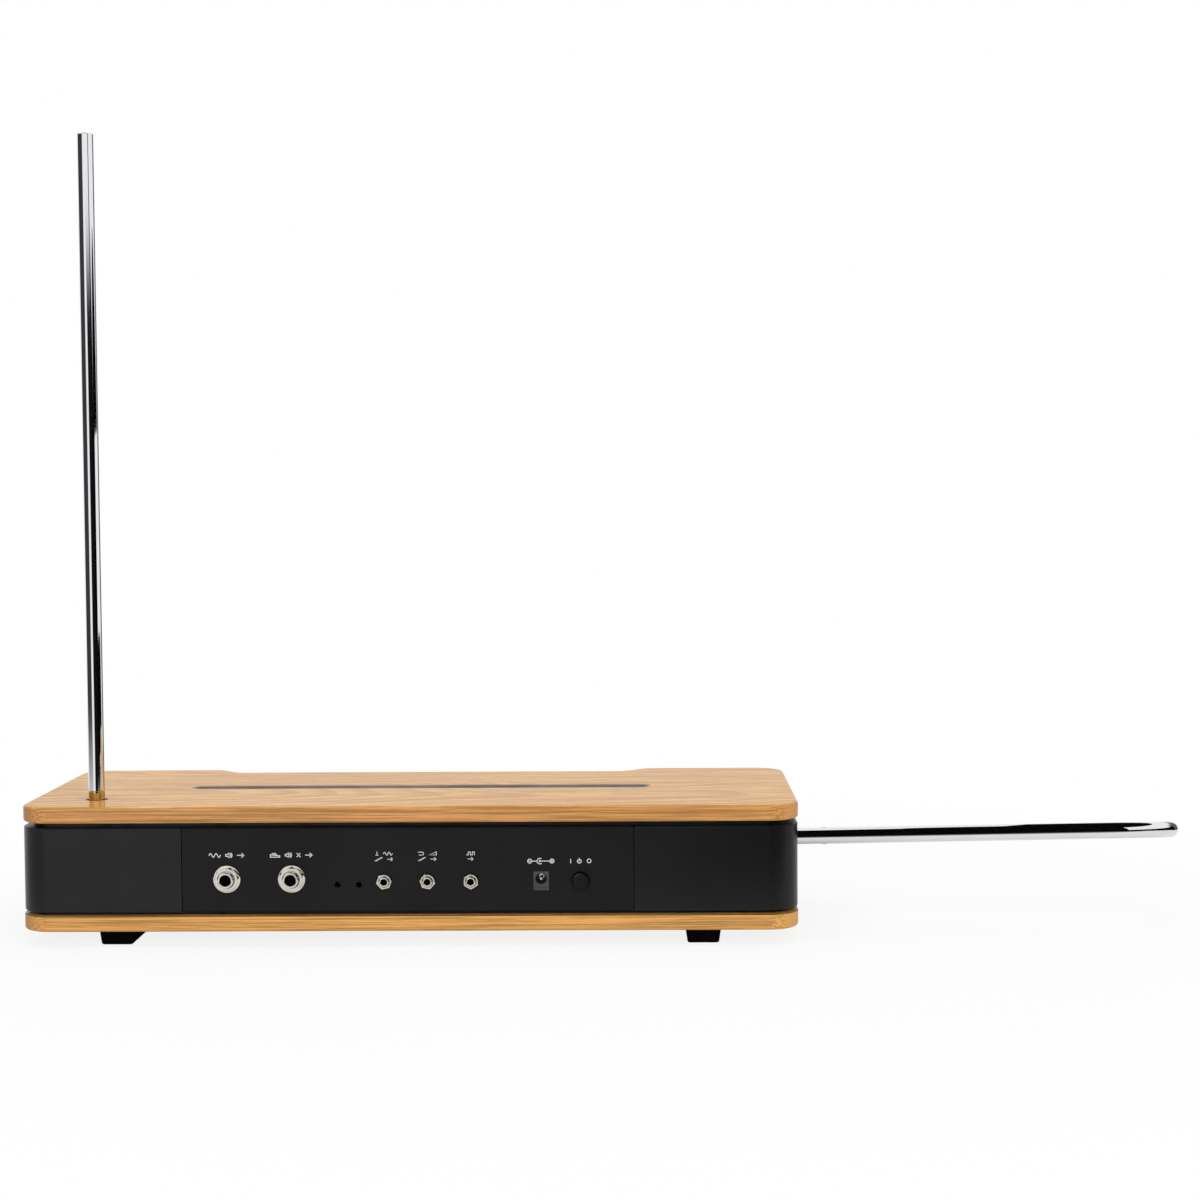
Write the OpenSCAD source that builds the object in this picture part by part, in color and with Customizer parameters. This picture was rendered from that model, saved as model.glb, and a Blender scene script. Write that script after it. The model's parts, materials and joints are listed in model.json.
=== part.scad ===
// Theremin: two wooden boards clamp a black body that holds the electronics.
// X runs along the case, +Y points to the player, +Z is up.
// The origin is the centre of the stand flange's face, in the underside of the bottom board.

/* [Case] */
// Width of the case
case_w = 450; // [420:1:520]
// Depth of the case, from the jack side to the player's side
case_d = 172; // [164:1:200]
// Radius of the case's corners, seen from above
corner_r = 18; // [12:1:20]
// Thickness of each wooden board
board_t = 9.5; // [8.5:0.5:14]
// Height of the black body between the boards
body_h = 49; // [46:1:70]
// Shadow gap under the body, filled by the base plate
gap_low = 1.7; // [1.5:0.1:4]
// Shadow gap over the body, filled by the top frame
gap_high = 2.6; // [1.8:0.1:5]
// How far the base plate and the top frame stand back from the boards' edges
neck_inset = 6; // [4:0.5:8]
// How far the body's faces stand back from the boards' edges
body_inset = 0.3; // [0:0.1:1]
// Gap at each seam between a shell and a panel
seam_gap = 0.2; // [0.1:0.05:0.5]

/* [Body] */
// Wall of the end shells
shell_t = 2.5; // [2:0.1:3.5]
// Width of the lips that turn inwards at the top and bottom of a shell
shell_lip_w = 20; // [19:0.5:24]
// Sheet thickness of the rear and front panels
panel_t = 2; // [1.5:0.1:3]
// Width of the lips that turn inwards at the top and bottom of a panel
panel_lip_w = 14; // [12:0.5:18]
// Width of the rear panel, and of the player's recess half way along its soft ends
panel_w = 260; // [250:1:290]
// Depth of the recess over the knobs
recess_d = 14; // [10:0.5:15]
// Length of each soft end of the recess
recess_end = 20; // [14:1:30]
// Overlap of the tongue on each shell behind the panel beside it
tongue_l = 8; // [5:0.5:12]
// Thickness of the tongue
tongue_t = 3; // [2:0.5:5]
// Radius of the posts in the case's corners
post_r = 5; // [4:0.5:6]
// Distance of a post from the two faces beside it
post_inset = 22; // [20:0.5:24]
// Width of the frame on top of the body, from the boards' edges
frame_w = 26; // [25.5:0.5:28]

/* [Slot] */
// Width of the slot in the top board
slot_w = 16; // [12:0.5:24]
// Depth of the lined trough below the board's surface
slot_depth = 11; // [11:0.5:20]
// Wall and floor of the liner
liner_t = 1.5; // [1:0.1:2.5]
// Width of the liner's flange under the board
liner_flange = 8; // [7:0.5:12]
// Distance between the liner's screws along the slot
liner_screw_pitch = 100; // [60:5:120]

/* [Antennas] */
// Diameter of the antenna tubes
tube_d = 9.525; // [8:0.125:10]
// Wall of the antenna tubes
tube_wall = 0.9; // [0.7:0.05:1.2]
// Length of the pitch antenna above the board
rod_len = 389; // [300:1:460]
// Distance of both sockets from the case's rear face
socket_y = 35.5; // [34:0.1:60]
// Distance of the pitch socket from the case's left side
pitch_socket_x = 38.4; // [36:0.1:60]
// Height of the volume socket above the underside of the body
volume_socket_h = 37.5; // [30:0.1:38]
// Angle by which the volume socket points up
socket_rise = 0.8; // [0:0.1:3]
// Height of the brass band at the foot of the pitch antenna
band_h = 5.2; // [3:0.1:8]
// Length of the plug's thick part below the band
plug_l = 14; // [12:0.5:18]
// Diameter of the plug's contact pin
pin_d = 6; // [4:0.1:6.5]
// Length of the plug's contact pin
pin_l = 16; // [10:0.5:18]
// Length of the spigot that holds the tube
spigot_l = 14; // [8:0.5:20]
// Diameter of the holes for the sockets
socket_hole_d = 12.7; // [12:0.1:14]
// Depth of the pitch socket's mouth below the board's surface
mouth_depth = 1; // [0.5:0.1:2]
// Radius of the socket's flange
socket_flange_r = 8.5; // [7.5:0.1:9]
// Reach of the volume loop from the case's side
loop_reach = 233.3; // [180:0.1:280]
// Distance between the loop's two long sides, centre to centre
loop_w = 94; // [70:1:120]
// Bend radius of the loop's corner nearest the case
loop_bend = 30; // [20:1:34]
// Distance of the loop's free side from the case
loop_gap = 18; // [12:1:40]
// Angle by which the loop hangs down towards the player, at rest
loop_tilt = 8.9; // [0:0.1:20]

/* [Jack side] */
// Height of the large jacks above the underside of the body
large_jack_h = 19.4; // [16:0.1:24]
// Height of the small jacks, the inlet and the button above the underside of the body
jack_h = 17.7; // [16:0.1:22]
// Height of the trimmers above the underside of the body
trimmer_h = 15.7; // [14:0.1:22]
// Place of the first large jack
large_jack_x = -103.9; // [-110:0.5:-95]
// Distance between the large jacks
large_jack_pitch = 37.3; // [30:0.1:40]
// Diameter of the large jacks' bore
large_bore_d = 6.45; // [6.3:0.05:6.6]
// Diameter of the large jacks' threaded bush
large_bush_d = 9.5; // [9:0.1:10]
// Length of the large bush outside the panel
large_bush_l = 6.6; // [5:0.1:8]
// Diameter of the washer under the large nut
large_washer_d = 15.8; // [15:0.1:17]
// Width across the flats of the large nut
large_nut_af = 13; // [12.5:0.1:14]
// Place of the middle small jack
small_jack_x = 11.5; // [0:0.5:20]
// Distance between the small jacks
small_jack_pitch = 24.9; // [16:0.5:26]
// Diameter of the small jacks' bore
small_bore_d = 3.6; // [3.5:0.05:3.7]
// Diameter of the small jacks' threaded bush
small_bush_d = 6; // [5.5:0.1:6.5]
// Length of the small bush outside the panel
small_bush_l = 3.4; // [3:0.1:5]
// Width across the flats of the small nut
small_nut_af = 8; // [7.5:0.1:9]
// Place of the power inlet
inlet_x = 76.7; // [66:0.5:80]
// Width of the power inlet
inlet_w = 9; // [8:0.1:10]
// Height of the power inlet
inlet_tall = 11; // [10:0.1:13]
// Diameter of the power inlet's hole
inlet_hole_d = 6.4; // [5.5:0.1:6.6]
// Diameter of the pin in the power inlet
inlet_pin_d = 2.1; // [1.9:0.1:2.5]
// Place of the power button
button_x = 99.3; // [92:0.5:110]
// Diameter of the power button
button_d = 9.5; // [8:0.1:12]
// Length of the power button outside the panel
button_out = 4.2; // [3:0.1:6]
// Travel of the power button
button_travel = 2.5; // [1.5:0.1:3]
// Place of the first trimmer
trimmer_x = -40.4; // [-48:0.5:-38]
// Distance between the trimmers
trimmer_pitch = 12.4; // [8:0.5:13]
// Diameter of the trimmers' access holes
access_d = 3; // [2.5:0.1:4]
// Distance from the rear panel to the board that carries the jacks
jack_depth = 12; // [11.5:0.1:14]

/* [Player's side] */
// Distance between the knobs
knob_pitch = 60; // [40:1:64]
// Diameter of a knob
knob_d = 19; // [17:0.5:24]
// Diameter of the skirt at a knob's foot
knob_skirt_d = 23; // [20:0.5:30]
// Depth of a knob
knob_l = 13; // [12.5:0.1:13.2]
// Gap between a knob and the front panel
knob_gap = 0.9; // [0.6:0.1:1]
// Diameter of the knob shafts
shaft_d = 6; // [5:0.1:6.2]
// Depth of the potentiometers behind the front panel
pot_depth = 7; // [6.5:0.1:10]
// Length of the potentiometer bush outside the panel
pot_bush_l = 5; // [4:0.1:6]
// Diameter of the indicator lamp
lamp_d = 3; // [2.5:0.1:5]

/* [Inside] */
// Thickness of the circuit boards
pcb_t = 1.6; // [1:0.1:2.4]
// Height of the standoffs under the circuit boards
standoff_h = 6; // [5:0.5:12]
// Width of the main circuit board
main_pcb_w = 190; // [170:1:210]
// Depth of the main circuit board
main_pcb_d = 88; // [80:1:90]
// Width of the two coil boards
coil_pcb_w = 56; // [54:1:60]
// Diameter of the antenna wires
lead_d = 1.6; // [1:0.1:2.4]

/* [Feet and stand] */
// Height of the feet
foot_h = 8.8; // [7:0.1:12]
// Width of a foot at its top
foot_w = 20.7; // [18:0.5:26]
// Length of a foot, front to back
foot_l = 40; // [30:1:60]
// Distance from a foot's centre to the case's side
foot_side = 55.3; // [50:1:70]
// Distance from a foot to the case's front or rear face
foot_inset = 8; // [6:0.5:16]
// Diameter of the stand's thread, 5/8 inch
stand_d = 15.9; // [14:0.1:18]
// Radius of the stand flange
flange_r = 26; // [24:0.5:32]
// Thickness of the stand flange
flange_t = 2.5; // [2:0.1:3]

/* [Hidden] */
$fn = 96;

black = [0.13, 0.13, 0.135];
wood = [0.86, 0.70, 0.50];
nickel = [0.78, 0.78, 0.76];
chrome = [0.80, 0.81, 0.83];
brass = [0.80, 0.66, 0.32];
green = [0.10, 0.30, 0.18];
steel = [0.62, 0.62, 0.64];

eps = 0.1;              // how far a cut runs past the face that it opens
close_gap = 0.1;        // between pieces that are set beside each other
running_gap = 0.06;     // radial, between pieces that turn or slide in each other
free_gap = 0.3;         // between pieces that move and pieces that don't

z_plate = board_t;                  // top of the bottom board
z_body = z_plate + gap_low;         // underside of the body
z_lid = z_body + body_h;            // top of the body
z_top = z_lid + gap_high;           // underside of the top board
z_case = z_top + board_t;           // top of the case
y_rear = -case_d / 2 + body_inset;  // outer face of the rear panel
y_front = case_d / 2 - recess_d - body_inset; // outer face of the front panel
y_jack_pcb = y_rear + panel_t + jack_depth;
y_knob_pcb = y_front - panel_t - pot_depth;
z_large_jack = z_body + large_jack_h;
z_jack = z_body + jack_h;
z_trimmer = z_body + trimmer_h;
z_knob = z_body + body_h / 2;
z_pcb = z_body + standoff_h;
x_side = case_w / 2 - body_inset;   // outer face of an end shell

// ---- plan shapes of the case

module rounded_rect(w, d, r) {
    square([w - 2 * r, d], center = true);
    square([w, d - 2 * r], center = true);
    for (sx = [-1, 1], sy = [-1, 1])
        translate([sx * (w / 2 - r), sy * (d / 2 - r)]) circle(r);
}

// The recess's soft end is half a cosine wave. An inset moves it along one slanted
// direction, which keeps its distance at both flats and at the steepest place.
end_steps = 16;
end_slope = atan(recess_d * PI / 2 / recess_end);
function end_point(u, inset) = [
    panel_w / 2 + recess_end * (u - 0.5) + inset * tan(end_slope / 2),
    case_d / 2 - recess_d * (1 + cos(180 * u)) / 2 - inset];

module recess_shape(inset = 0) {
    right = [for (i = [0 : end_steps]) end_point(i / end_steps, inset)];
    left = [for (i = [end_steps : -1 : 0]) let (p = right[i]) [-p[0], p[1]]];
    past = case_d / 2 + eps;
    polygon(concat(left, right, [[right[end_steps][0], past], [-right[end_steps][0], past]]));
}

module case_outline(inset = 0) {
    difference() {
        rounded_rect(case_w - 2 * inset, case_d - 2 * inset, corner_r - inset);
        recess_shape(inset);
    }
}

slot_l = panel_w + recess_end;
module stadium(l, w) {
    square([l - w, w], center = true);
    for (s = [-1, 1]) translate([s * (l - w) / 2, 0]) circle(w / 2);
}

// ---- screws, inserts and nuts

module at_posts() {
    for (sx = [-1, 1], sy = [-1, 1])
        translate([sx * (case_w / 2 - post_inset), sy * (case_d / 2 - post_inset), 0])
            children();
}

wood_screw_l = 7.5;
wood_shank_r = 1.4;
wood_head_r = 2.8;
wood_head_h = 1.4;
// Points up, with the underside of its flat head at z = 0
module wood_screw() {
    difference() {
        union() {
            cylinder(r = wood_shank_r, h = wood_screw_l);
            cylinder(r1 = wood_head_r, r2 = wood_shank_r, h = wood_head_h);
        }
        for (a = [0, 90])
            rotate([0, 0, a]) translate([-1.4, -0.3, -eps]) cube([2.8, 0.6, 0.6 + eps]);
    }
}
module wood_screw_hole() {
    cylinder(r = wood_shank_r + close_gap, h = wood_screw_l + close_gap);
    translate([0, 0, -eps])
        cylinder(r1 = wood_head_r + close_gap + eps, r2 = wood_shank_r + close_gap,
            h = wood_head_h + eps);
}

m3_r = 1.5;
m3_head_r = 2.75;
// Countersunk machine screw that points up from z = 0
module flat_screw(l) {
    difference() {
        union() {
            cylinder(r = m3_r, h = l);
            cylinder(r1 = m3_head_r, r2 = m3_r, h = m3_head_r - m3_r);
        }
        translate([0, 0, -eps]) cylinder(r = 1, h = 0.8 + eps, $fn = 6);
    }
}
module flat_screw_hole(l) {
    cylinder(r = m3_r + close_gap, h = l + eps);
    translate([0, 0, -eps])
        cylinder(r1 = m3_head_r + close_gap + eps, r2 = m3_r + close_gap,
            h = m3_head_r - m3_r + eps);
}

module hex_nut(af, t, bore_d) {
    difference() {
        cylinder(d = af / cos(30), h = t, $fn = 6);
        translate([0, 0, -eps]) cylinder(d = bore_d, h = t + 2 * eps);
    }
}

// Puts a local +Z that points out of the rear panel, or out of the front panel, at (x, z)
module on_rear(x, z) {
    translate([x, y_rear, z]) rotate([90, 0, 0]) children();
}
module on_front(x, z) {
    translate([x, y_front, z]) rotate([90, 0, 180]) children();
}

// ---- boards

insert_r = 3.6;
insert_l = board_t - 1.5;
case_screw_r = 2;
case_head_r = 4;
case_head_h = 3.2;
case_head_z = 1;

module top_board() {
    color(wood) difference() {
        translate([0, 0, z_top]) linear_extrude(board_t) difference() {
            case_outline();
            stadium(slot_l, slot_w);
            translate([pitch_x, pitch_y]) circle(d = socket_hole_d);
        }
        at_posts() translate([0, 0, z_top - eps]) cylinder(r = insert_r, h = insert_l + eps);
        at_liner_screws() translate([0, 0, -liner_t]) wood_screw_hole();
    }
}

module bottom_board() {
    color(wood) difference() {
        linear_extrude(board_t) rounded_rect(case_w, case_d, corner_r);
        at_posts() {
            translate([0, 0, -eps]) cylinder(r = case_screw_r + 0.25, h = board_t + 2 * eps);
            translate([0, 0, -eps])
                cylinder(r = case_head_r + 0.3, h = case_head_z + case_head_h + eps);
        }
        translate([0, 0, -eps]) cylinder(r = flange_r + 0.2, h = flange_t + eps);
        translate([0, 0, -eps]) cylinder(r = flange_boss_r + 0.2, h = board_t + 2 * eps);
        at_flange_screws() wood_screw_hole();
        at_feet() translate([0, 0, -foot_h + foot_sink]) wood_screw_hole();
    }
}

module board_inserts() {
    color(brass) at_posts() translate([0, 0, z_top]) difference() {
        cylinder(r = insert_r, h = insert_l);
        translate([0, 0, -eps]) cylinder(r = case_screw_r + 0.05, h = insert_l + 2 * eps);
    }
}

case_screw_top = z_top + insert_l - 1;
module case_screws() {
    color(steel) at_posts() difference() {
        translate([0, 0, case_head_z]) {
            cylinder(r = case_head_r, h = case_head_h);
            cylinder(r = case_screw_r, h = case_screw_top - case_head_z);
        }
        translate([0, 0, case_head_z - eps]) cylinder(r = 1.7, h = 2 + eps, $fn = 6);
    }
}

// ---- body

lip_t = shell_t;
front_panel_w = panel_w - recess_end;

// One end of the body, on the right; the left one is its mirror image
module end_shell() {
    rear_x = panel_w / 2 + seam_gap;
    front_x = front_panel_w / 2 + seam_gap;
    difference() {
        union() {
            intersection() {
                difference() {
                    translate([0, 0, z_body]) linear_extrude(body_h) case_outline(body_inset);
                    translate([0, 0, z_body + lip_t]) linear_extrude(body_h - 2 * lip_t)
                        case_outline(body_inset + shell_t);
                    translate([0, 0, z_body - eps]) linear_extrude(body_h + 2 * eps)
                        lip_opening();
                }
                union() {
                    translate([rear_x, -case_d, 0]) cube([case_w, case_d, z_case]);
                    translate([front_x, -eps, 0]) cube([case_w, case_d, z_case]);
                }
            }
            translate([case_w / 2 - post_inset, 0, z_body]) for (s = [-1, 1])
                translate([0, s * (case_d / 2 - post_inset), 0]) cylinder(r = post_r, h = body_h);
            tongue(rear_x, y_rear + panel_t + close_gap);
            tongue(front_x, y_front - panel_t - close_gap - tongue_t);
        }
        at_posts() translate([0, 0, z_body - eps])
            cylinder(r = case_screw_r + 0.25, h = body_h + 2 * eps);
    }
}
module lip_opening() {
    w = case_w - 2 * shell_lip_w;
    y_low = -case_d / 2 + shell_lip_w;
    y_high = case_d / 2 - recess_d - shell_lip_w;
    translate([-w / 2, y_low]) square([w, y_high - y_low]);
}
// Runs from behind the panel to a little way along the shell's own wall
module tongue(x, y) {
    translate([x - tongue_l, y, z_body + lip_t])
        cube([tongue_l + 6, tongue_t, body_h - 2 * lip_t]);
}
module right_end_shell() {
    color(black) difference() {
        end_shell();
        at_volume_socket() translate([0, 0, -6]) cylinder(d = socket_hole_d, h = 14);
    }
}
module left_end_shell() {
    color(black) mirror([1, 0, 0]) end_shell();
}

// A folded sheet: a face with a lip at its top and bottom, reaching back from y = 0
module folded_panel(w) {
    translate([-w / 2, 0, z_body]) cube([w, panel_t, body_h]);
    for (z = [z_body, z_lid - panel_t])
        translate([-w / 2, 0, z]) cube([w, panel_lip_w, panel_t]);
}

panel_screw_l = 5;
panel_screw_x = 90;
panel_screw_in = 10;
// Screws through the base plate point up into the lower lips, the others point down
module at_panel_screws(z_low, z_high) {
    for (x = [-panel_screw_x, panel_screw_x])
        for (y = [y_rear + panel_screw_in, y_front - panel_screw_in]) {
            translate([x, y, z_low]) children();
            translate([x, y, z_high]) mirror([0, 0, 1]) children();
        }
}

module rear_panel() {
    color(black) difference() {
        translate([0, y_rear, 0]) folded_panel(panel_w - 2 * seam_gap);
        at_large_jacks() panel_hole(large_bush_d + 0.3);
        at_small_jacks() panel_hole(small_bush_d + 0.3);
        at_trimmers() panel_hole(access_d);
        on_rear(button_x, z_jack) panel_hole(button_d + 2 * free_gap);
        on_rear(inlet_x, z_jack) translate([0, 0, -panel_t / 2])
            cube([inlet_w + 0.3, inlet_tall + 0.3, panel_t + 2 * eps], center = true);
        at_panel_screws(z_plate, z_top) flat_screw_hole(panel_screw_l);
    }
}
module panel_hole(d) {
    translate([0, 0, -panel_t - eps]) cylinder(d = d, h = panel_t + 2 * eps);
}

module front_panel() {
    color(black) difference() {
        translate([0, y_front, 0]) mirror([0, 1, 0]) folded_panel(front_panel_w - 2 * seam_gap);
        at_knobs() panel_hole(pot_bush_d + 0.2);
        on_front(0, z_knob) panel_hole(lamp_d + 0.1);
        at_panel_screws(z_plate, z_top) flat_screw_hole(panel_screw_l);
    }
}

module panel_screws() {
    color(steel) at_panel_screws(z_plate, z_top) flat_screw(panel_screw_l);
}

module base_plate() {
    color([0.2, 0.2, 0.2]) difference() {
        translate([0, 0, z_plate]) linear_extrude(gap_low) case_outline(neck_inset);
        at_posts() translate([0, 0, z_plate - eps])
            cylinder(r = case_screw_r + 0.25, h = gap_low + 2 * eps);
        translate([0, 0, z_plate - eps])
            cylinder(r = flange_boss_r + 0.5, h = gap_low + 2 * eps);
        at_panel_screws(z_plate, z_top) flat_screw_hole(panel_screw_l);
    }
}

module top_frame() {
    w = case_w - 2 * frame_w;
    y_low = -case_d / 2 + frame_w;
    y_high = case_d / 2 - recess_d - frame_w;
    color([0.35, 0.35, 0.35]) difference() {
        translate([0, 0, z_lid]) linear_extrude(gap_high) difference() {
            case_outline(neck_inset);
            translate([-w / 2, y_low]) square([w, y_high - y_low]);
        }
        at_posts() translate([0, 0, z_lid - eps])
            cylinder(r = case_screw_r + 0.25, h = gap_high + 2 * eps);
        at_panel_screws(z_plate, z_top) flat_screw_hole(panel_screw_l);
    }
}

// ---- slot liner

liner_sink = 0.8;
module at_liner_screws() {
    for (i = [-1, 0, 1], s = [-1, 1])
        translate([i * liner_screw_pitch, s * (slot_w / 2 + liner_flange / 2), z_top])
            children();
}
module slot_liner() {
    floor_z = z_case - slot_depth;
    color([0.1, 0.1, 0.1]) difference() {
        union() {
            translate([0, 0, floor_z - liner_t])
                linear_extrude(z_case - liner_sink - floor_z + liner_t)
                    stadium(slot_l - 2 * close_gap, slot_w - 2 * close_gap);
            translate([0, 0, z_top - liner_t]) linear_extrude(liner_t)
                stadium(slot_l + 2 * liner_flange, slot_w + 2 * liner_flange);
        }
        translate([0, 0, floor_z]) linear_extrude(slot_depth)
            stadium(slot_l - 2 * liner_t, slot_w - 2 * liner_t);
        at_liner_screws() translate([0, 0, -liner_t]) wood_screw_hole();
    }
}

// ---- feet and stand flange

foot_taper = 1.3;
foot_sink = 5;
module at_feet() {
    for (sx = [-1, 1], sy = [-1, 1])
        translate([sx * (case_w / 2 - foot_side),
            sy * (case_d / 2 - foot_inset - foot_l / 2), 0]) children();
}
module feet() {
    color([0.04, 0.04, 0.04]) at_feet() difference() {
        translate([0, foot_l / 2, 0]) rotate([90, 0, 0]) linear_extrude(foot_l)
            polygon([[-foot_w / 2, 0], [-foot_w / 2 + foot_taper, -foot_h],
                [foot_w / 2 - foot_taper, -foot_h], [foot_w / 2, 0]]);
        translate([0, 0, -foot_h + foot_sink]) wood_screw_hole();
        translate([0, 0, -foot_h - eps])
            cylinder(r = wood_head_r + 0.3, h = foot_sink + eps);
    }
}

flange_boss_r = stand_d / 2 + 3;
flange_boss_h = board_t + gap_low + 1.5;
flange_screw_r = 19;
module at_flange_screws() {
    for (a = [90, 210, 330]) rotate([0, 0, a]) translate([flange_screw_r, 0, 0]) children();
}
module stand_flange() {
    color(steel) difference() {
        union() {
            cylinder(r = flange_r, h = flange_t);
            cylinder(r = flange_boss_r, h = flange_boss_h);
        }
        translate([0, 0, -eps]) cylinder(d = stand_d, h = flange_boss_h + 2 * eps);
        at_flange_screws() wood_screw_hole();
    }
}

module wood_screws() {
    color(steel) {
        at_liner_screws() translate([0, 0, -liner_t]) wood_screw();
        at_flange_screws() wood_screw();
        at_feet() translate([0, 0, -foot_h + foot_sink]) wood_screw();
    }
}

// ---- circuit boards

coil_pcb_d = 30;
coil_x = (case_w / 2 - shell_t + front_panel_w / 2) / 2 - 8;
main_y = (y_jack_pcb + y_knob_pcb) / 2;
main_hole_in = 7;
coil_hole_in = 5;
module at_standoffs() {
    for (sx = [-1, 1]) {
        for (sy = [-1, 1])
            translate([sx * (main_pcb_w / 2 - main_hole_in),
                main_y + sy * (main_pcb_d / 2 - main_hole_in), z_body]) children();
        for (s = [-1, 1])
            translate([sx * coil_x + s * (coil_pcb_w / 2 - coil_hole_in), 0, z_body])
                children();
    }
}
module standoffs() {
    color(brass) at_standoffs() difference() {
        cylinder(d = 5.5, h = standoff_h, $fn = 6);
        translate([0, 0, standoff_h - 4]) cylinder(r = m3_r + 0.05, h = 4 + eps);
    }
}
module board_screws() {
    color(steel) at_standoffs() translate([0, 0, standoff_h + pcb_t]) difference() {
        union() {
            cylinder(r = m3_head_r, h = 2);
            translate([0, 0, -pcb_t - 3.5]) cylinder(r = m3_r, h = pcb_t + 4);
        }
        for (a = [0, 90])
            rotate([0, 0, a]) translate([-1.5, -0.3, 1]) cube([3, 0.6, 1 + eps]);
    }
}
module pcb_holes() {
    at_standoffs() translate([0, 0, standoff_h - eps])
        cylinder(r = m3_r + 0.2, h = pcb_t + 2 * eps);
}
module main_circuit_board() {
    color(green) difference() {
        translate([0, main_y, z_pcb]) linear_extrude(pcb_t)
            rounded_rect(main_pcb_w, main_pcb_d, 2);
        pcb_holes();
    }
}
module coil_circuit_boards() {
    color(green) difference() {
        for (s = [-1, 1]) translate([s * coil_x, 0, z_pcb]) linear_extrude(pcb_t)
            rounded_rect(coil_pcb_w, coil_pcb_d, 2);
        pcb_holes();
    }
}

rear_pcb_w = panel_w - 2 * tongue_l - 10;
rear_pcb_h = 28;
rear_pcb_below = 13;     // from the small jacks' height down to the board's lower edge
front_pcb_w = front_panel_w - 2 * tongue_l - 8;
front_pcb_h = 20;
module jack_circuit_board() {
    color(green) translate([-rear_pcb_w / 2, y_jack_pcb, z_jack - rear_pcb_below])
        cube([rear_pcb_w, pcb_t, rear_pcb_h]);
}
module knob_circuit_board() {
    color(green) translate([-front_pcb_w / 2, y_knob_pcb - pcb_t, z_knob - front_pcb_h / 2])
        cube([front_pcb_w, pcb_t, front_pcb_h]);
}

// A flat cable leaves an upright board level, bends down and lands on the main board
ribbon_w = 24;
ribbon_t = 1;
ribbon_in = 3;
ribbon_r = 10;
module ribbon(gap) {
    run = gap + ribbon_in - ribbon_r;
    rotate([90, 0, 90]) translate([0, 0, -ribbon_w / 2]) linear_extrude(ribbon_w) {
        translate([0, ribbon_r - ribbon_t]) square([run, ribbon_t]);
        translate([run, 0]) intersection() {
            difference() {
                circle(ribbon_r);
                circle(ribbon_r - ribbon_t);
            }
            square(ribbon_r);
        }
    }
}
module ribbon_cables() {
    z = z_pcb + pcb_t;
    rear_gap = main_y - main_pcb_d / 2 - y_jack_pcb - pcb_t;
    front_gap = y_knob_pcb - pcb_t - main_y - main_pcb_d / 2;
    color([0.55, 0.56, 0.58]) {
        translate([0, y_jack_pcb + pcb_t, z]) ribbon(rear_gap);
        translate([0, y_knob_pcb - pcb_t, z]) mirror([0, 1, 0]) ribbon(front_gap);
    }
}

module on_main(x, y) {
    translate([x, main_y + y, z_pcb + pcb_t]) children();
}
can_w = 10;
can_h = 13;
can_x = 63;              // middle of each pair of cans
can_pitch = 18;
can_y = -22;
can_core_r = 2.2;
can_core_l = 2;
module oscillator_cans() {
    color(nickel) for (s = [-1, 1], i = [-0.5, 0.5])
        on_main(s * can_x + i * can_pitch, can_y) difference() {
            translate([-can_w / 2, -can_w / 2, 0]) cube([can_w, can_w, can_h]);
            translate([0, 0, can_h - can_core_l])
                cylinder(r = can_core_r, h = can_core_l + eps);
        }
}
module chip(w, d, t) {
    translate([-w / 2, -d / 2, 0]) cube([w, d, t]);
}
small_chip = [9, 6, 2];
small_chip_pitch = 24;
small_chip_y = 8;
large_chip = [14, 14, 1.6];
large_chip_y = -14;
supply_chip = [10, 8, 3];
supply_chip_x = -64;
supply_chip_y = 10;
module circuit_chips() {
    color(black) {
        for (i = [-1.5 : 1.5]) on_main(i * small_chip_pitch, small_chip_y)
            chip(small_chip[0], small_chip[1], small_chip[2]);
        on_main(0, large_chip_y) chip(large_chip[0], large_chip[1], large_chip[2]);
        on_main(supply_chip_x, supply_chip_y)
            chip(supply_chip[0], supply_chip[1], supply_chip[2]);
    }
}
capacitor_r = 3.2;
capacitor_h = 9;
capacitor_pitch = 8;
capacitor_x = 52;        // the first one
capacitor_y = 14;
module capacitors() {
    color([0.1, 0.12, 0.3]) for (i = [0 : 4])
        on_main(capacitor_x + i * capacitor_pitch, capacitor_y)
            cylinder(r = capacitor_r, h = capacitor_h);
}

// A pie-wound choke: a ferrite core with three flat coils on it
core_r = 2.5;
core_l = 14;
coil_r = 5.5;
coil_t = 2.6;
coil_pitch = 4;
coil_up = 2;
module choke() {
    cylinder(r = core_r, h = core_l);
    for (i = [0 : 2]) translate([0, 0, coil_up + i * coil_pitch]) cylinder(r = coil_r, h = coil_t);
}
choke_pitch = 11.5;
module antenna_coils() {
    color([0.62, 0.32, 0.16]) {
        for (i = [-1, 0, 1]) {
            translate([-coil_x + i * choke_pitch, 0, z_pcb + pcb_t]) choke();
            translate([coil_x + i * choke_pitch, 0, z_pcb + pcb_t]) choke();
        }
    }
}

// ---- antenna sockets
// Along a socket's own +Z, which points out, the plug's band starts at z = 0.

pitch_x = -case_w / 2 + pitch_socket_x;
pitch_y = -case_d / 2 + socket_y;
volume_z = z_body + volume_socket_h;
volume_sink = band_h + 1;
tube_r = tube_d / 2;
sleeve_r = socket_hole_d / 2 - close_gap;
sleeve_end = plug_l + pin_l + 3;

module at_pitch_socket() {
    translate([pitch_x, pitch_y, z_case]) children();
}
module at_volume_socket() {
    translate([x_side, pitch_y, volume_z]) rotate([0, 90 - socket_rise, 0])
        translate([0, 0, -volume_sink]) children();
}

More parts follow.
